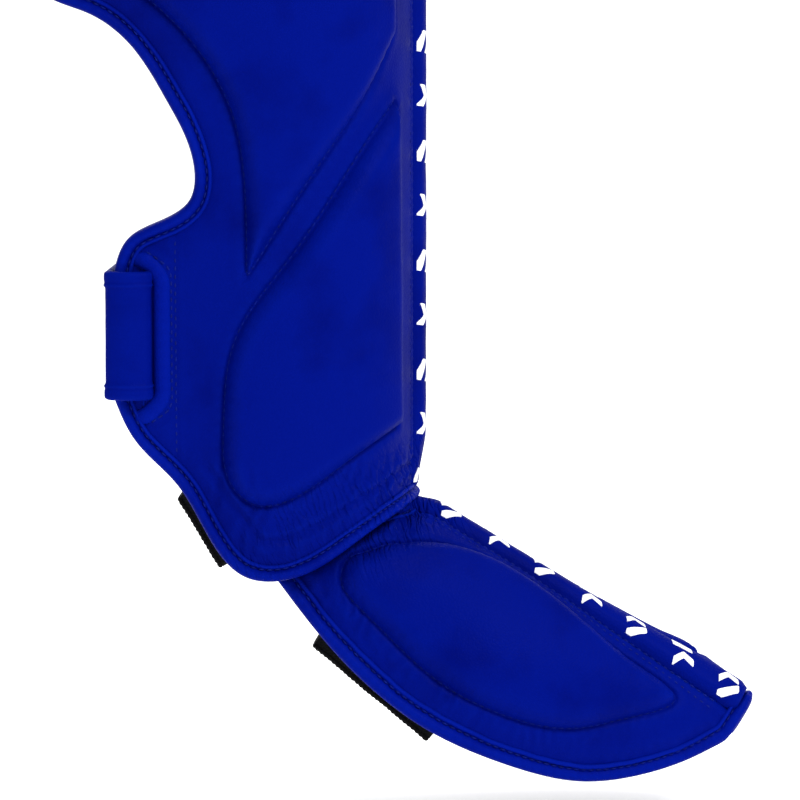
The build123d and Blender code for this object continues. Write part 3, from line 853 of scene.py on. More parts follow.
def fold_creases(nodes, place, cloud):
    """Height of the fine creases that run square to the shin's rim, on both sides of the fold."""
    along = nodes.vector("DOT_PRODUCT", place, RIM_ALONG)
    away = nodes.vector("DOT_PRODUCT", place, RIM_AWAY)
    away = nodes.calc("ADD", away, RIM_OFFSET * MM)
    flat = nodes.add("CombineXYZ", {"X": along, "Y": 0.0, "Z": away})
    scaled = nodes.vector("MULTIPLY", flat, CREASE_SCALE)
    drift = nodes.noise(place, 55.0, 2.0, output="Color")
    warped = nodes.vector("MULTIPLY_ADD", drift, (2.6, 2.6, 2.6), scaled)
    depth = nodes.remap(nodes.borders(warped, 1.0), 0.0, 0.22, 1.0, 0.0)
    # the creases reach further above the rim than below it
    apart = nodes.calc("MAXIMUM", away, nodes.calc("MULTIPLY", away, -1.5))
    near = nodes.remap(apart, 0.013, 0.034, 1.0, 0.0)
    patchy = nodes.remap(cloud, 0.35, 0.6)
    shown = nodes.calc("MULTIPLY", nodes.calc("MULTIPLY", near, patchy), depth)
    return nodes.calc("SUBTRACT", 1.0, shown)


def leather(name, deep, main, rubbed_and_lit, grain=620.0, roughness=0.46, strength=0.16):
    """Soft full-grain leather: pores, fine creases, cloudy colour, paler on raised edges from wear
    and a painted highlight.
    """
    nodes = Nodes(name, Specular_IOR_Level=0.015, IOR=1.40)
    place = nodes.place()
    cloud = nodes.noise(place, 22.0, 4.0, 0.55)
    base = nodes.ramp(cloud, (0.30, deep), (0.52, main), (0.74, main))
    # convex places take the paler colour: rubbed wear together with a painted highlight on the raised
    # edges
    edge = nodes.add("NewGeometry", {}, "Pointiness")
    raised = nodes.ramp(edge, (0.50, (0, 0, 0, 1)), (0.62, (1, 1, 1, 1)))
    wear_and_highlight = nodes.calc("MULTIPLY", raised, cloud)
    nodes.link(nodes.add("Mix", {"Factor": wear_and_highlight, "A": base, "B": rubbed_and_lit}, 2, data_type="RGBA"),
               "Base Color")
    nodes.link(nodes.remap(cloud, 0.3, 0.7, roughness - 0.05, roughness + 0.07), "Roughness")
    pebbles = nodes.remap(nodes.borders(place, grain), 0.0, 0.25)
    cracks = nodes.remap(nodes.borders(place, grain / 5.5), 0.0, 0.05)
    mixed = nodes.calc("ADD", pebbles, nodes.noise(place, grain * 1.7, 3.0, 0.6))
    height = nodes.calc("MULTIPLY_ADD", cracks, 0.35, mixed)
    creased = nodes.bump(fold_creases(nodes, place, cloud), 1.0, 0.0008)
    nodes.link(nodes.bump(height, strength, 0.0006, Normal=creased), "Normal")
    return nodes.material


def woven(name, dark, light, pitch, roughness=0.85, sheen=0.25):
    """Cloth with a plain weave at a pitch in mm, in the object's own space."""
    nodes = Nodes(name, Specular_IOR_Level=0.1, Sheen_Weight=sheen, Sheen_Roughness=0.5,
                  Roughness=roughness)
    place = nodes.place()
    threads = []
    for axis in ("Y", "Z"):
        level = nodes.add("SeparateXYZ", {"Vector": place}, axis)
        turn = nodes.calc("MULTIPLY", level, TURN / (pitch * MM))
        threads.append(nodes.calc("SINE", turn))
    weave = nodes.calc("MULTIPLY", *threads)
    mixed = nodes.calc("MULTIPLY_ADD", weave, 0.25, nodes.noise(place, 260.0, 3.0))
    nodes.link(nodes.ramp(mixed, (0.25, dark), (0.75, light)), "Base Color")
    nodes.link(nodes.bump(mixed, 0.5, 0.0003), "Normal")
    return nodes.material


def speckled(name, dark, light, scale, roughness, strength, depth=0.0004):
    """Foam, pile or print: fine mottled colour and bump."""
    nodes = Nodes(name, Specular_IOR_Level=0.2, Roughness=roughness)
    noise = nodes.noise(nodes.place(), scale, 5.0, 0.65)
    nodes.link(nodes.ramp(noise, (0.3, dark), (0.7, light)), "Base Color")
    nodes.link(nodes.bump(noise, strength, depth), "Normal")
    return nodes.material


# the last colour of each leather is its paler tone on raised edges: wear with a painted highlight
BLUE = leather("blue_leather", srgb(0, 8, 96), srgb(0, 13, 112), srgb(2, 26, 138))
BOUND = leather("binding_leather", srgb(0, 9, 104), srgb(0, 15, 121), srgb(3, 30, 150),
                grain=760.0, roughness=0.42, strength=0.2)
THREAD = woven("thread_blue", srgb(0, 8, 84), srgb(2, 24, 126), 0.5, roughness=0.7, sheen=0.0)
PRINT = speckled("white_print", srgb(226, 228, 236), srgb(246, 247, 250), 900.0, 0.55, 0.08)
LINING = woven("lining_cloth", srgb(12, 14, 22), srgb(30, 33, 44), 0.9)
ELASTIC = woven("elastic_webbing", srgb(2, 2, 3), srgb(11, 11, 12), 1.1, 0.8, sheen=0.05)
HOOK = speckled("hook_tape", srgb(8, 8, 9), srgb(30, 30, 33), 2400.0, 0.6, 0.8, 0.0008)
LOOP = speckled("loop_tape", srgb(10, 10, 12), srgb(38, 38, 42), 1500.0, 0.95, 0.9, 0.0009)
FOAM = speckled("eva_foam", srgb(58, 60, 64), srgb(96, 98, 102), 800.0, 0.9, 0.5)


# ---- making the pieces ----
FOLD_START, FOLD_END = (60.0, 0.0, -4.0), (68.2, 0.0, -20.0)


def dress(piece, body, material, slot, *nodes):
    """Material, body, slot and replaced CAD nodes of one finished piece; the slot is not used.

    The instep's soft pieces, all but the elastic, are baked in place and join no body.
    """
    piece.data.materials.clear()
    piece.data.materials.append(material)
    if body == "instep" and "elastic" not in piece.name:
        metres(FOLD_START)
        metres(FOLD_END)
        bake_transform(piece)
    elif body:
        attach(piece, body)
    if nodes:
        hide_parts(*nodes)
    return piece


def leather_panels(name, place, height_of, edge, pads, pad_names):
    """The left and right leather skins of one shell, with their embossed pads."""
    across = 0 if name == "shin" else 1
    for side, side_name in SIDES:
        region = clipped(moved_in(edge, LAYER_INSET)[0], across, SEAM, side)
        holes = list(SLOTS.values()) if name == "shin" and side == RIGHT else []
        flat, faces = fill_region(region, holes, GRID, pads[side])
        height = height_of(flat, side)
        piece = shell(f"{name}_leather_{side_name}", place(flat, height),
                      place(flat, height - LEATHER), faces)
        dress(piece, name, BLUE, "leather_blue",
              *[f"{node}_{side_name}" for node in (f"{name}_side_panel", *pad_names)])


def lining_and_foam(name, place, depth_of, edge, holes):
    """Cloth lining and the foam between it and the leather."""
    coarser = 1
    flat, faces = fill_region(moved_in(edge, LAYER_INSET)[0], holes, LINING_GRID * coarser)
    near, _ = to_line(flat, edge)
    soft = 0.35 * ripple(flat[:, 0] / 60, flat[:, 1] / 60, seed=len(name))
    depth = depth_of(flat, near) + soft * smooth((near - 8) / 12)
    piece = shell(f"{name}_lining_cloth", place(flat, LINING_CLOTH - depth),
                  place(flat, -depth), faces)
    dress(piece, name, LINING, "lining_fabric", f"{name}_lining")

    flat, faces = fill_region(moved_in(edge, LAYER_INSET + 1)[0], holes, FOAM_GRID * coarser)
    near, _ = to_line(flat, edge)
    depth = depth_of(flat, near)
    piece = shell(f"{name}_foam", place(flat, -FOAM_TOP), place(flat, FOAM_FOOT - depth), faces)
    dress(piece, name, FOAM, "core_foam", f"{name}_core")


# binding section: distance in from the edge, height over the leather (outer lip)
BINDING_LIP = [(7.0, -1.2), (7.15, 0.0), (6.8, 0.7), (6.2, 0.9), (5.7, 0.5), (5.3, -0.35),
               (5.0, -0.6), (4.7, -0.1), (4.3, 0.95), (3.6, 1.75), (2.7, 2.1), (1.7, 1.8),
               (0.8, 0.85), (0.25, -0.4), (0.0, -1.8)]


def edge_binding(name, place, depth_of, edge, seed):
    """Leather strip folded over the edge of a shell and sewn through."""
    loop = resampled(edge, 1.1, closed=True)
    _, inward = moved_in(loop, 0)
    run = np.arange(len(loop)) * 1.1
    pucker = 0.12 * np.sin(TURN * run / 4.4 + 2 * ripple(run / 70, seed=seed))
    wander = 0.25 * ripple(run / 45, seed=seed + 1)
    columns = []
    for reach, height in BINDING_LIP:
        flat = loop + inward * (reach + wander[:, None] * (reach > 4))
        lift = height - 0.55 * bell(reach - 7, 9) + pucker * (1.5 < reach < 5.5)
        columns.append(place(flat, lift))
    for reach, height in reversed(BINDING_LIP):
        flat = loop + inward * (reach + wander[:, None] * (reach > 4))
        columns.append(place(flat, -depth_of(flat, reach) - 0.5 * height - 0.25))
    for depth in (EDGE_THICKNESS - 1.4, 2.0):
        columns.append(place(loop + inward * 4.5, -depth))
    piece = loft_rings(f"{name}_bound_edge", np.stack(columns, axis=1), closed_path=True)
    dress(piece, name, BOUND, "leather_blue_binding", f"{name}_edge_binding")


def stitches(name, body, rows):
    """Rows of thread stitches as one piece; each row gives ends and outward directions."""
    profile = THREAD_HALF * np.sin(np.linspace(0.06, 0.94, THREAD_RINGS) * math.pi) ** 0.45
    points, faces, first = [], [], 0
    for starts, ends, out in rows:
        along, count = ends - starts, len(starts)
        beside = unit(np.cross(along, out))
        for share, radius in zip(np.linspace(0, 1, THREAD_RINGS), profile):
            lift = THREAD_HALF * (1.1 * math.sin(share * math.pi) - 0.45)
            middle = starts + along * share + out * lift
            for angle in np.arange(THREAD_SIDES) * TURN / THREAD_SIDES:
                points.append(middle + radius * (beside * math.cos(angle)
                                                 + out * math.sin(angle)))

        def at(ring, side):
            return first + np.arange(count) + (ring * THREAD_SIDES + side % THREAD_SIDES) * count

        for k in range(THREAD_RINGS - 1):
            for s in range(THREAD_SIDES):
                quad = np.stack([at(k, s), at(k, s + 1), at(k + 1, s + 1), at(k + 1, s)], axis=1)
                faces += quad.tolist()
        for k, order in ((0, range(THREAD_SIDES)[::-1]), (THREAD_RINGS - 1, range(THREAD_SIDES))):
            faces += np.stack([at(k, s) for s in order], axis=1).tolist()
        first += count * THREAD_RINGS * THREAD_SIDES
    return dress(new_mesh(name, np.vstack(points), faces), body, THREAD, "leather_blue")


def stitch_row(place, line, height_of, closed=True, sink=0.1):
    """Ends and directions of the stitches along a line of places on a shell."""
    line = resampled(line, STITCH_PITCH, closed=closed)
    if closed:
        line = np.vstack([line, line[:1]])
    begin, end = line[:-1], line[:-1] + (line[1:] - line[:-1]) * STITCH_SHARE
    low, high = place(begin, height_of(begin) - sink), place(end, height_of(end) - sink)
    middle = (begin + end) / 2
    return low, high, unit(place(middle, 1.0) - place(middle, 0.0))


def shell_rows(place, height_of, swap, pads, edge, first, last):
    """Rows of thread round a shell's pads, beside its ridge strip and through its binding."""
    rows = []
    for side, _ in SIDES:
        over = lambda flat, side=side: height_of(flat, side)
        rows += [stitch_row(place, pad, over) for pad in pads[side]]
        for beside in SEAM_ROWS:
            along = np.arange(first, last, 1.0)
            line = swap(along, 0 * along + side * (SEAM + beside))
            rows.append(stitch_row(place, line, over, closed=False, sink=0.02))
    edge, inward = moved_in(resampled(edge, 1.0, closed=True), 0)
    rows.append(stitch_row(place, edge + inward * LIP_ROW, lambda flat: -0.30))
    return rows


def all_stitches():
    """Every row of thread on the shin shell and on the instep."""
    low, high = ridge_ends()
    rows = shell_rows(shin_at, shin_height, shin_swap, SHIN_PADS, SHIN_LOOP, low + 8, high - 8)
    for name, slot in SLOTS.items():
        middle = slot.mean(axis=0)
        z = np.arange(middle[1] - SLOT_ROW_HALF, middle[1] + SLOT_ROW_HALF - 2, 1.0)
        straight = shin_swap(z, 0 * z + middle[0] + SLOT_ROW_AHEAD)
        for line in (rim_line(name, RIM_REACH + 3.9, 34.4), straight):
            line = line[inside(line, SHIN_LOOP)]
            line = clear_of(line, SHIN_LOOP, 8.5)
            for pad in SHIN_PADS[RIGHT]:
                line = clear_of(line, pad, 2.5)
            rows.append(stitch_row(shin_at, line, lambda flat: shin_height(flat, RIGHT),
                                   closed=False))
    stitches("shin_stitching", "shin", rows)
    stitches("instep_stitching", "instep", shell_rows(foot_at, foot_height, foot_swap, FOOT_PADS,
                                                      FOOT_LOOP, 3.0, 142.0))


# ---- ridge strips with their printed marks ----
def arch(across, rise):
    """Height across a padded strip."""
    share = np.clip(np.abs(across) / SEAM, 0, 1)
    return rise * (1 - share ** 2.4) ** 0.62 - 0.9 * share ** 6


def strip_height(name, along, across):
    """Height of a ridge strip over the skin; the shin's thins out towards the fold."""
    rise = np.full(np.shape(along), BAR_RISE)
    if name == "shin":
        rise = BAR_RISE - 3.2 * (1 - smooth((along - 6) / 26))
    return arch(across, rise) + 0.12 * ripple(along / 30, across / 20, seed=19)


def ridge_ends():
    """Heights of the shin shell's edge on the middle line."""
    middle = SHIN_LOOP[np.abs(SHIN_LOOP[:, 0]) < 2][:, 1]
    return middle.min(), middle.max()


def ridge_strip(name, place, swap, first, last):
    """Padded strip over the front seam; swap turns (along, across) into a place."""
    along = np.arange(first, last + 0.01, 1.6)
    across = np.linspace(-SEAM - 0.5, SEAM + 0.5, 31)
    run, beside = (grid.ravel() for grid in np.meshgrid(along, across, indexing="ij"))
    height = strip_height(name, run, beside)
    height -= 0.22 * bell(np.abs(np.abs(beside) - 6.9), 0.5)
    height -= 1.4 * (1 - smooth(np.minimum(run - first, last - run) / 4))
    faces = grid_faces(len(along), len(across))
    if swap is foot_swap:
        faces = [tuple(reversed(face)) for face in faces]
    flat = swap(run, beside)
    piece = face_out(shell(f"{name}_ridge_leather", place(flat, height),
                           place(flat, height - LEATHER), faces))
    dress(piece, name, BLUE, "strip_leather", f"{name}_ridge_strip", f"{name}_ridge_bar")


def shin_swap(along, across):
    """Places (q, z) on the shin from distances along and across its ridge."""
    return np.stack([across, along], axis=1)


def foot_swap(along, across):
    """Places (u, a) on the instep from distances along and across its ridge."""
    return np.stack([along, across], axis=1)


def mark_group(kind):
    """One group of plain marks, (across, along) corners: a slanted bar and a chevron."""
    lean, bar_at, chevron_at = (1.3, -3.4, 3.0) if kind == 0 else (-1.3, 3.6, -3.0)
    half, tall, thick = MARK_WIDTH / 2, MARK_HEIGHT / 2, MARK_THICK
    side = thick / 2
    bar = np.array([(-side - lean, -tall), (side - lean, -tall), (side + lean, tall),
                    (-side + lean, tall)])
    chevron = np.array([(-half, -tall), (thick - half, -tall), (half, 0), (thick - half, tall),
                        (-half, tall), (half - thick, 0)])
    return [bar + [bar_at, 0], chevron + [chevron_at, 0]]


def printed_marks(name, place, swap, spots, tilt, limit):
    """Thin print over a ridge strip, following its arch, from a limit along it."""
    points, faces = [], []
    cos, sin = math.cos(math.radians(tilt)), math.sin(math.radians(tilt))
    reach = SEAM - PRINT_MARGIN
    for kind, across, along in spots:
        for x, y in (mark.T for mark in mark_group(kind)):
            turned = np.stack([x * cos - y * sin, x * sin + y * cos], axis=1)
            shape = clipped(turned + [across, along], 1, limit)
            if len(shape) < 3:
                continue
            flat, found = fill_region(shape[::int(np.sign(signed_area(shape)))], (), 0.8)
            if (np.abs(flat[:, 0]) < reach).sum() < 4:
                continue
            beside, run = np.clip(flat[:, 0], -reach, reach), flat[:, 1]
            height, spot = strip_height(name, run, beside), swap(run, beside)
            if swap is foot_swap:
                found = [tuple(reversed(face)) for face in found]
            first = sum(len(p) for p in points)
            layers, solid = layered(place(spot, height + 0.16), place(spot, height - 0.25), found)
            faces += [tuple(first + v for v in face) for face in solid]
            points.append(layers)
    piece = face_out(new_mesh(f"{name}_ridge_print", np.vstack(points), faces))
    piece.data.polygons.foreach_set("use_smooth", [False] * len(piece.data.polygons))
    dress(piece, name, PRINT, "strip_leather")


def ridge_strips():
    """Ridge strips and the plain marks printed on them."""
    low, high = ridge_ends()
    for name, place, swap, start, end, first, last, shift, tilt, limit in (
            ("shin", shin_at, shin_swap, low + 3.5, high - 3.5, low + 8.5, high - 12, -2.5, -12,
             low + 7.6),
            ("instep", foot_at, foot_swap, -14.0, 149.5, 7.0, 148.0, -1.8, -24, 0.0)):
        ridge_strip(name, place, swap, start, end)
        spots = [(k % 2, shift + k % 2, along)
                 for k, along in enumerate(np.arange(first, last, MARK_STEP))]
        printed_marks(name, place, swap, spots, tilt, limit)


# ---- straps ----
def filleted(corners, radius):
    """Polyline with rounded corners."""
    corners = [np.array(c, float) for c in corners]
    points = [corners[0]]
    for before, here, after in zip(corners, corners[1:], corners[2:]):
        back, ahead = unit(before - here), unit(after - here)
        half = math.acos(np.clip(back @ ahead, -1, 1)) / 2
        cut = radius / math.tan(half)
        begin, end = here + back * cut, here + ahead * cut
        middle = here + unit(back + ahead) * (radius / math.sin(half))
        sweep = math.pi - 2 * half
        for share in np.linspace(0, 1, 9):
            direction = unit((begin - middle) * math.sin((1 - share) * sweep)
                             + (end - middle) * math.sin(share * sweep))
            points.append(middle + direction * radius)
    points.append(corners[-1])
    line = [points[0]]
    for point in points[1:]:
        start = line[-1]
        count = max(int(np.linalg.norm(point - start) / 2.5), 1)
        line += [start + (point - start) * (k + 1) / count for k in range(count)]
    return np.array(line)


def strap_section():
    """Half-thickness across the strap's width: bound edges stand a little proud."""
    width = np.concatenate([np.linspace(-26, -19, 13), np.linspace(-17.5, 17.5, 15),
                            np.linspace(19, 26, 13)])
    edge = 26 - np.abs(width)
    half = 1.05 + 0.55 * (1 - smooth((edge - 5.6) / 1.2))
    half += 0.18 * bell(edge - 5.9, 0.7) - 0.3 * bell(edge - 4.6, 0.5)
    half *= np.sqrt(np.clip(1 - ((1.6 - np.minimum(edge, 1.6)) / 1.6) ** 2, 0.02, 1))
    return width, half


def square_to(line):
    """Directions square to an open line, in its plane."""
    ahead = unit(np.gradient(line, axis=0))
    return np.stack([-ahead[:, 1], ahead[:, 0]], axis=1)


def strap_piece(name, path, height, bow=0.0):
    """Flat leather strap on edge along a path seen from above; its outer run bows outwards."""
    width, half = strap_section()
    beside = square_to(path)
    travel = travelled(path)
    if bow:
        x, y = path.T
        outer = np.abs(y - y.min()) < 0.6
        share = np.clip((x - x[outer].min()) / np.ptp(x[outer]), 0, 1)
        path = np.stack([x, y - outer * bow * 4 * share * (1 - share)], axis=1)
    level = height + np.concatenate([width, width[::-1]])
    rings = []
    for point, out, run in zip(path, beside, travel):
        soft = 0.05 * ripple(np.full_like(width, run / 25), width / 20, seed=len(name))
        away = np.concatenate([half + soft, (soft - half)[::-1]])
        rings.append(np.column_stack([point + out * away[:, None], level]))
    return loft_rings(name, rings)


def ear_face(x, height, inner=False):
    """Sideways place of the ears' outer or inner face."""
    face = SIDE_AT_ORIGIN + SIDE_FLARE * height
    face -= EAR_CURL * max(EAR_MID_X - x, 0) / (EAR_MID_X - EAR_END_X)
    if inner:
        forward = max(x - EAR_MID_X, 0) / (SHIN_CENTRE - EAR_MID_X)
        face -= EAR_THICKNESS + (SIDE_WALL - EAR_THICKNESS) * forward + LINING_LAYER
    return face


def rounded_half(thick, edge, reach, least):
    """Half-thickness of a flat piece, rounded off within a reach of its edge."""
    return thick / 2 * np.sqrt(np.clip(1 - (1 - np.minimum(edge / reach, 1)) ** 2, least, 1))


def rounded_plate(name, corners, axes, thick, body, material, slot, node):
    """Soft flat patch: corners of a box (low, high); axes are its long, wide and thin ones."""
    low, high = np.array(corners, float)
    long, wide, thin = axes
    size = high - low
    columns, rows = max(int(size[long] / 1.5), 4), max(int(size[wide] / 1.5), 4)
    run, beside = np.meshgrid(np.linspace(0, 1, columns + 1), np.linspace(0, 1, rows + 1),
                              indexing="ij")
    edge = np.minimum(np.minimum(run, 1 - run) * size[long],
                      np.minimum(beside, 1 - beside) * size[wide])
    half = rounded_half(thick, edge, 0.6 * thick, 0.05)
    soft = 0.06 * ripple(run * size[long] / 12, beside * size[wide] / 12, seed=7)
    layers = []
    for sign in (1, -1):
        points = np.zeros(run.shape + (3,))
        points[..., long] = low[long] + run * size[long]
        points[..., wide] = low[wide] + beside * size[wide]
        points[..., thin] = ((low + high) / 2)[thin] + sign * (half + soft * np.minimum(edge / 3, 1))
        layers.append(points.reshape(-1, 3))
    piece = face_out(shell(name, *layers, grid_faces(columns + 1, rows + 1)))
    return dress(piece, body, material, slot, node)

def box_stitches(name, x, y, height):
    """A sewn box with its two diagonals, on the inner face of a strap's sewn end."""
    ahead, behind, half = x - 4, x - 14, 20
    box = [(ahead, -half), (behind, -half), (behind, half), (ahead, half)]
    rows = []
    for line, closed in ((box, True), ([box[0], box[2]], False), ([box[1], box[3]], False)):
        line = resampled(np.array(line, float), STITCH_PITCH, closed)
        if closed:
            line = np.vstack([line, line[:1]])
        spots = np.stack([line[:, 0], 0 * line[:, 0] + y, line[:, 1] + height], axis=1)
        ends = spots[:-1] + (spots[1:] - spots[:-1]) * STITCH_SHARE
        rows.append((spots[:-1], ends, np.tile(-LEFTWARD, (len(ends), 1))))
    stitches(f"{name}_anchor_stitching", "shin", rows)


def strap_set(name, height, rear):
    """One strap: sewn end, run between the ears, pass through the slot, fold and free tail."""
    slot_x, run_x = rear + SLOT_INSET, rear + RUN_SHIFT
    anchor_x = run_x + ANCHOR_LENGTH
    half_thick = STRAP_THICKNESS / 2
    lining = min(ear_face(rear, height, True), ear_face(anchor_x, height, True))
    anchor_y = lining - BINDING_PROUD - CLEAR - STRAP_EASE - LEATHER / 2
    inside_y = anchor_y - LEATHER / 2 - 0.2 - half_thick
    outside_y = ear_face(slot_x, height) + BINDING_PROUD + CLEAR + STRAP_EASE + half_thick
    back_x = rear - CLEAR - half_thick
    tail_start = TAIL_OFFSET - outside_y
    tape_end = tail_start + TAIL_LENGTH
    tail_body = f"{name}_tail"

    route = filleted([(anchor_x, inside_y), (run_x, inside_y), (run_x, -inside_y),
                      (slot_x, -inside_y), (slot_x, -outside_y), (back_x, -outside_y),
                      (back_x, tail_start)], FOLD_RADIUS)
    dress(strap_piece(f"{name}_strap_leather", route, height, STRAP_BOW), "shin", BLUE,
          "leather_blue", f"{name}_strap")

    tail = np.stack([np.full(40, back_x), np.linspace(tail_start - 0.2, tape_end, 40)], axis=1)
    piece = strap_piece(f"{name}_tail_leather", tail, height)
    dress(piece, None, BLUE, "leather_blue", f"{name}_strap_tail")
    metres((back_x, tail_start - 1, height))
    metres((back_x, tail_start + BLEND_SPAN, height))
    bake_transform(piece)

    hook_x, loop_x = back_x + half_thick, run_x - half_thick
    hook_end, loop_end = tape_end - TAPE_MARGIN, tape_end + TAPE_MARGIN
    tape_half = STRAP_WIDTH / 2 - TAPE_MARGIN
    for part, xs, ys, half, axes, thick, body, material, slot, node in (
            ("hook_patch", (hook_x - 0.3, hook_x + PATCH), (hook_end - HOOK_LENGTH, hook_end),
             tape_half, (1, 2, 0), PATCH, tail_body, HOOK, "hook_tape", "hook_tape"),
            ("loop_patch", (loop_x - PATCH, loop_x + 0.3), (loop_end - LOOP_LENGTH, loop_end),
             tape_half, (1, 2, 0), PATCH, "shin", LOOP, "loop_tape", "loop_tape"),
            ("tab_leather", (back_x - 2, back_x + 2), (tape_end - 5, tape_end + TAB_LENGTH),
             tape_half - TAPE_MARGIN, (1, 2, 0), 3.6, tail_body, BOUND, "leather_blue_binding",
             "pull_tab"),
            ("anchor_leather", (anchor_x - ANCHOR_PATCH, anchor_x),
             (anchor_y - LEATHER / 2, anchor_y + LEATHER / 2), STRAP_WIDTH / 2 + 2, (0, 2, 1),
             LEATHER, "shin", BOUND, "leather_blue_binding", "strap_anchor")):
        corners = list(zip(xs, ys, (height - half, height + half)))
        rounded_plate(f"{name}_{part}", corners, axes, thick, body, material, slot,
                      f"{name}_{node}")
    box_stitches(name, anchor_x, inside_y - half_thick + 0.2, height)


def rim_line(name, reach, half):
    """Centre line of the roll round a slot as places (q, z), open to the rear."""
    middle = SLOTS[name].mean(axis=0) - [0, 1.4]
    corners = [(middle[0] - 6.0, middle[1] + half + 1.2), (middle[0] - 1.0, middle[1] + half + 1),
               (middle[0] + reach, middle[1] + half - 6), (middle[0] + reach, middle[1] - half + 6),
               (middle[0] - 1.0, middle[1] - half - 1), (middle[0] - 6.0, middle[1] - half - 1.2)]
    return spline(resampled(filleted(corners, 5.5), 4.0), 1.0)


def slot_trim(name, height, rear):
    """Piped rim round a strap slot, open to the rear, and the leather that lines the slot."""
    loop = resampled(slot_loop(height, rear), 1.0, closed=True)
    foot = -full_wall(loop) - 0.2
    levels = [(0.1, lift) for lift in (-0.7, -0.75, -0.8, -0.9, foot)]
    levels += [(-0.8, lift) for lift in (foot, -0.9, -0.75)]
    sleeve = np.stack([shin_at(moved_in(loop, inset)[0], lift) for inset, lift in levels], axis=1)
    dress(loft_rings(f"{name}_slot_sleeve", sleeve, closed_path=True), "shin", BOUND,
          "leather_blue_binding")

    line = rim_line(name, RIM_REACH, 30.6)
    beside = square_to(line)
    travel = np.arange(len(line)) * 1.0
    ends = smooth(np.minimum(travel, travel[-1] - travel) / 4)
    bulge = (RIM_RISE + 0.07 * np.sin(TURN * travel / 4.6)) * (0.3 + 0.7 * ends)
    rings = []
    for angle in np.linspace(0, TURN, 15)[:-1]:
        flat = line + beside * (RIM_HALF * math.cos(angle) * (0.7 + 0.3 * ends))[:, None]
        rings.append(shin_at(flat, -0.7 + bulge * math.sin(angle)))
    dress(loft_rings(f"{name}_slot_piping", np.stack(rings, axis=1)), "shin", BOUND,
          "leather_blue_binding", f"{name}_slot_rim")


# ---- elastics ----
HEEL_BAND = ((-25.5, 6.0), (-8.0, -22.5))
ARCH_BAND = ((27.6, -56.2), (74.6, -95.2))
HEEL_HALF_SPAN, ARCH_HALF_SPAN = 46.0, 27.5
ELASTIC_THICK, TAB_REACH, RIB_PITCH = 2.2, 16.0, 2.1
FLAP_FROM, FLAP_TO, FLAP_HALF, FLAP_DEPTH = -26.0, 10.0, 18.0, 18.0


def elastic(name, line, half_span, body):
    """Ribbed webbing across the guard, with its sewn ends turned up inside the shell."""
    start, end = np.array(line[0]), np.array(line[1])
    length = np.linalg.norm(end - start)
    ahead = (end - start) / length
    up = np.array([-ahead[1], ahead[0]])
    along = np.linspace(0, 1, int(length / (0.5)))

    def webbing(part, node, faces, lift_and_side):
        """One stretch of webbing; its two faces are given as heights and sideways places."""
        layers = []
        for sign in (1, -1):
            lift, sideways = lift_and_side(sign)
            layers.append(np.stack([start[0] + ahead[0] * travel + up[0] * lift, sideways,
                                    start[1] + ahead[1] * travel + up[1] * lift],
                                   axis=-1).reshape(-1, 3))
        piece = face_out(shell(f"{name}_elastic_{part}", *layers, faces))
        dress(piece, body, ELASTIC, "elastic_black", node)

    across = np.linspace(-1, 1, int(half_span * 2 / 1.6))
    run, beside = np.meshgrid(along, across, indexing="ij")
    travel = run * length
    edge = np.minimum(travel, length - travel)
    half = rounded_half(ELASTIC_THICK, edge, 0.9, 0.06) - 0.2
    half += 0.17 * np.sin(TURN * travel / RIB_PITCH) * (edge > 1.4)
    sag = -1.6 * (1 - beside ** 2) + 0.25 * ripple(travel / 30, beside * 2, seed=5)
    webbing("webbing", f"{name}_elastic", grid_faces(*run.shape),
            lambda sign: (sag + sign * half, beside * half_span))

    run, reach = np.meshgrid(along, np.linspace(-0.6, TAB_REACH, 22), indexing="ij")
    travel = run * length
    edge = np.minimum(np.minimum(travel, length - travel), TAB_REACH - reach)
    half = rounded_half(ELASTIC_THICK, edge, 0.9, 0.06) - 0.2
    half += 0.15 * np.sin(TURN * travel / RIB_PITCH)
    for side, side_name in SIDES:
        webbing(f"tab_{side_name}", f"{name}_elastic_end_{side_name}", grid_faces(*run.shape),
                lambda sign: (reach + ELASTIC_THICK / 2,
                              side * (half_span - ELASTIC_THICK / 2) + sign * half))


# ---- hinge flap ----
def hinge_flap():
    """Leather flap inside the fold, sewn to both shells; it is baked in place and not bent between
    them.
    """
    depth = FOOT_WALL + BINDING_PROUD + CLEAR
    run, beside = np.meshgrid(np.linspace(FLAP_FROM, FLAP_TO, 32),
                              np.linspace(-FLAP_HALF, FLAP_HALF, 33), indexing="ij")
    width, _, _, scale = foot_size(run)
    layers = []
    for inset in (depth + 0.1, depth + LEATHER):
        share = np.arcsin(np.clip(beside / (width - inset * scale), -1, 1)) / (math.pi / 2)
        layers.append(foot_base(run, share, inset).reshape(-1, 3))
    piece = face_out(shell("ankle_flap_leather", *layers, grid_faces(*run.shape)))
    dress(piece, None, BLUE, "leather_blue", "ankle_hinge_flap")
    start, end = (FOOT_START + AHEAD * place + ABOVE * -FLAP_DEPTH for place in (-16, -4))
    metres(start)
    metres(end)
    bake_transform(piece)


# ---- floor, light, camera ----
FLOOR_DROP = 0.014                      # room for the toe when the ankle opens, in metres


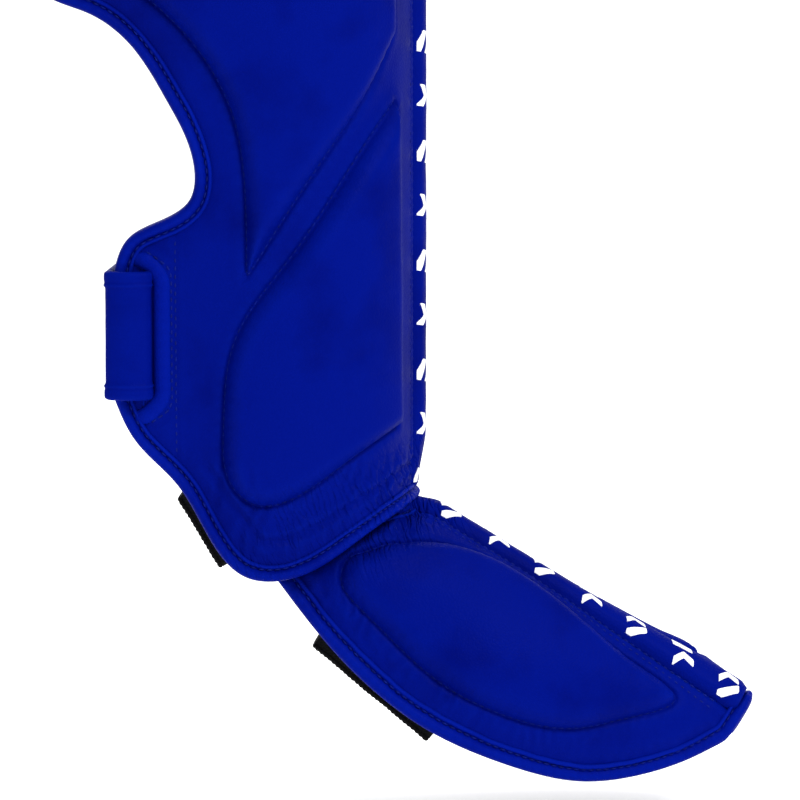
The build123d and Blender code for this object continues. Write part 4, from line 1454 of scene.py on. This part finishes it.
def studio():
    """Pale floor and backdrop, even world light and four soft lamps."""
    nodes = Nodes("floor_white", Roughness=0.9, Specular_IOR_Level=0.1,
                  Base_Color=(0.92, 0.92, 0.92, 1), Emission_Color=(1, 1, 1, 1),
                  Emission_Strength=0.42)
    floor_z, size, far = CAD_BOX[0][2] - FLOOR_DROP, 6.0, 5.9
    planes = {"floor": [(-size, -size, floor_z), (size, -size, floor_z), (size, size, floor_z),
                        (-size, size, floor_z)],
              "backdrop": [(-size, far, floor_z), (size, far, floor_z), (size, far, 2 * size),
                           (-size, far, 2 * size)]}
    for name, corners in planes.items():
        mesh = bpy.data.meshes.new(name)
        mesh.from_pydata(corners, [], [(0, 1, 2, 3)])
        mesh.materials.append(nodes.material)
        add_object(name, mesh)

    world = bpy.data.worlds.new("studio")
    bpy.context.scene.world = world
    world.use_nodes = True
    back = world.node_tree.nodes["Background"]
    back.inputs["Color"].default_value = (1, 1, 1, 1)
    back.inputs["Strength"].default_value = 0.6

    for name, place, aim, size, power in (
            ("key", (1.25, -1.35, 1.5), (0.03, 0, 0.1), 0.7, 38),
            ("fill", (-1.5, -1.3, 0.7), (0, 0, 0.1), 1.4, 4),
            ("top", (0.1, 0.2, 1.9), (0.05, 0, 0.1), 1.2, 12),
            ("rear", (-0.4, 1.8, 1.2), (0, 0, 0.1), 1.2, 12)):
        data = bpy.data.lights.new(name, "AREA")
        data.shape = "RECTANGLE"
        data.size = data.size_y = size
        data.energy = power
        made = add_object(name, data)
        made.location = place
        made.rotation_euler = (Vector(aim) - Vector(place)).to_track_quat("-Z", "Y").to_euler()


def camera():
    """Long lens, nearly level, a few degrees round towards the toe."""
    yaw, rise, distance = math.radians(4), math.radians(6), 3.0
    away = Vector((math.sin(yaw) * math.cos(rise), -math.cos(yaw) * math.cos(rise),
                   math.sin(rise)))
    data = bpy.data.cameras.new("camera")
    data.lens, data.sensor_width, data.clip_end = 329.3, 36.0, 50
    made = add_object("camera", data)
    made.location = Vector((0.0612, 0.0, 0.0414)) + away * distance
    made.rotation_euler = (-away).to_track_quat("-Z", "Y").to_euler()
    bpy.context.scene.camera = made
    bpy.context.scene.view_settings.view_transform = "Standard"


camera()
studio()
leather_panels("shin", shin_at, shin_height, SHIN_LOOP, SHIN_PADS, ("upper_pad", "lower_pad"))
leather_panels("instep", foot_at, foot_height, FOOT_LOOP, FOOT_PADS, ("instep_pad",))
lining_and_foam("shin", shin_at, shin_depth, SHIN_LOOP, list(SLOTS.values()))
lining_and_foam("instep", foot_at, foot_depth, FOOT_LOOP, [])
edge_binding("shin", shin_at, shin_depth, SHIN_LOOP, 11)
edge_binding("instep", foot_at, foot_depth, FOOT_LOOP, 14)
ridge_strips()
all_stitches()
for strap_name, strap_height, strap_rear in STRAPS:
    strap_set(strap_name, strap_height, strap_rear)
    slot_trim(strap_name, strap_height, strap_rear)
elastic("heel", HEEL_BAND, HEEL_HALF_SPAN, "shin")
elastic("arch", ARCH_BAND, ARCH_HALF_SPAN, "instep")
hinge_flap()
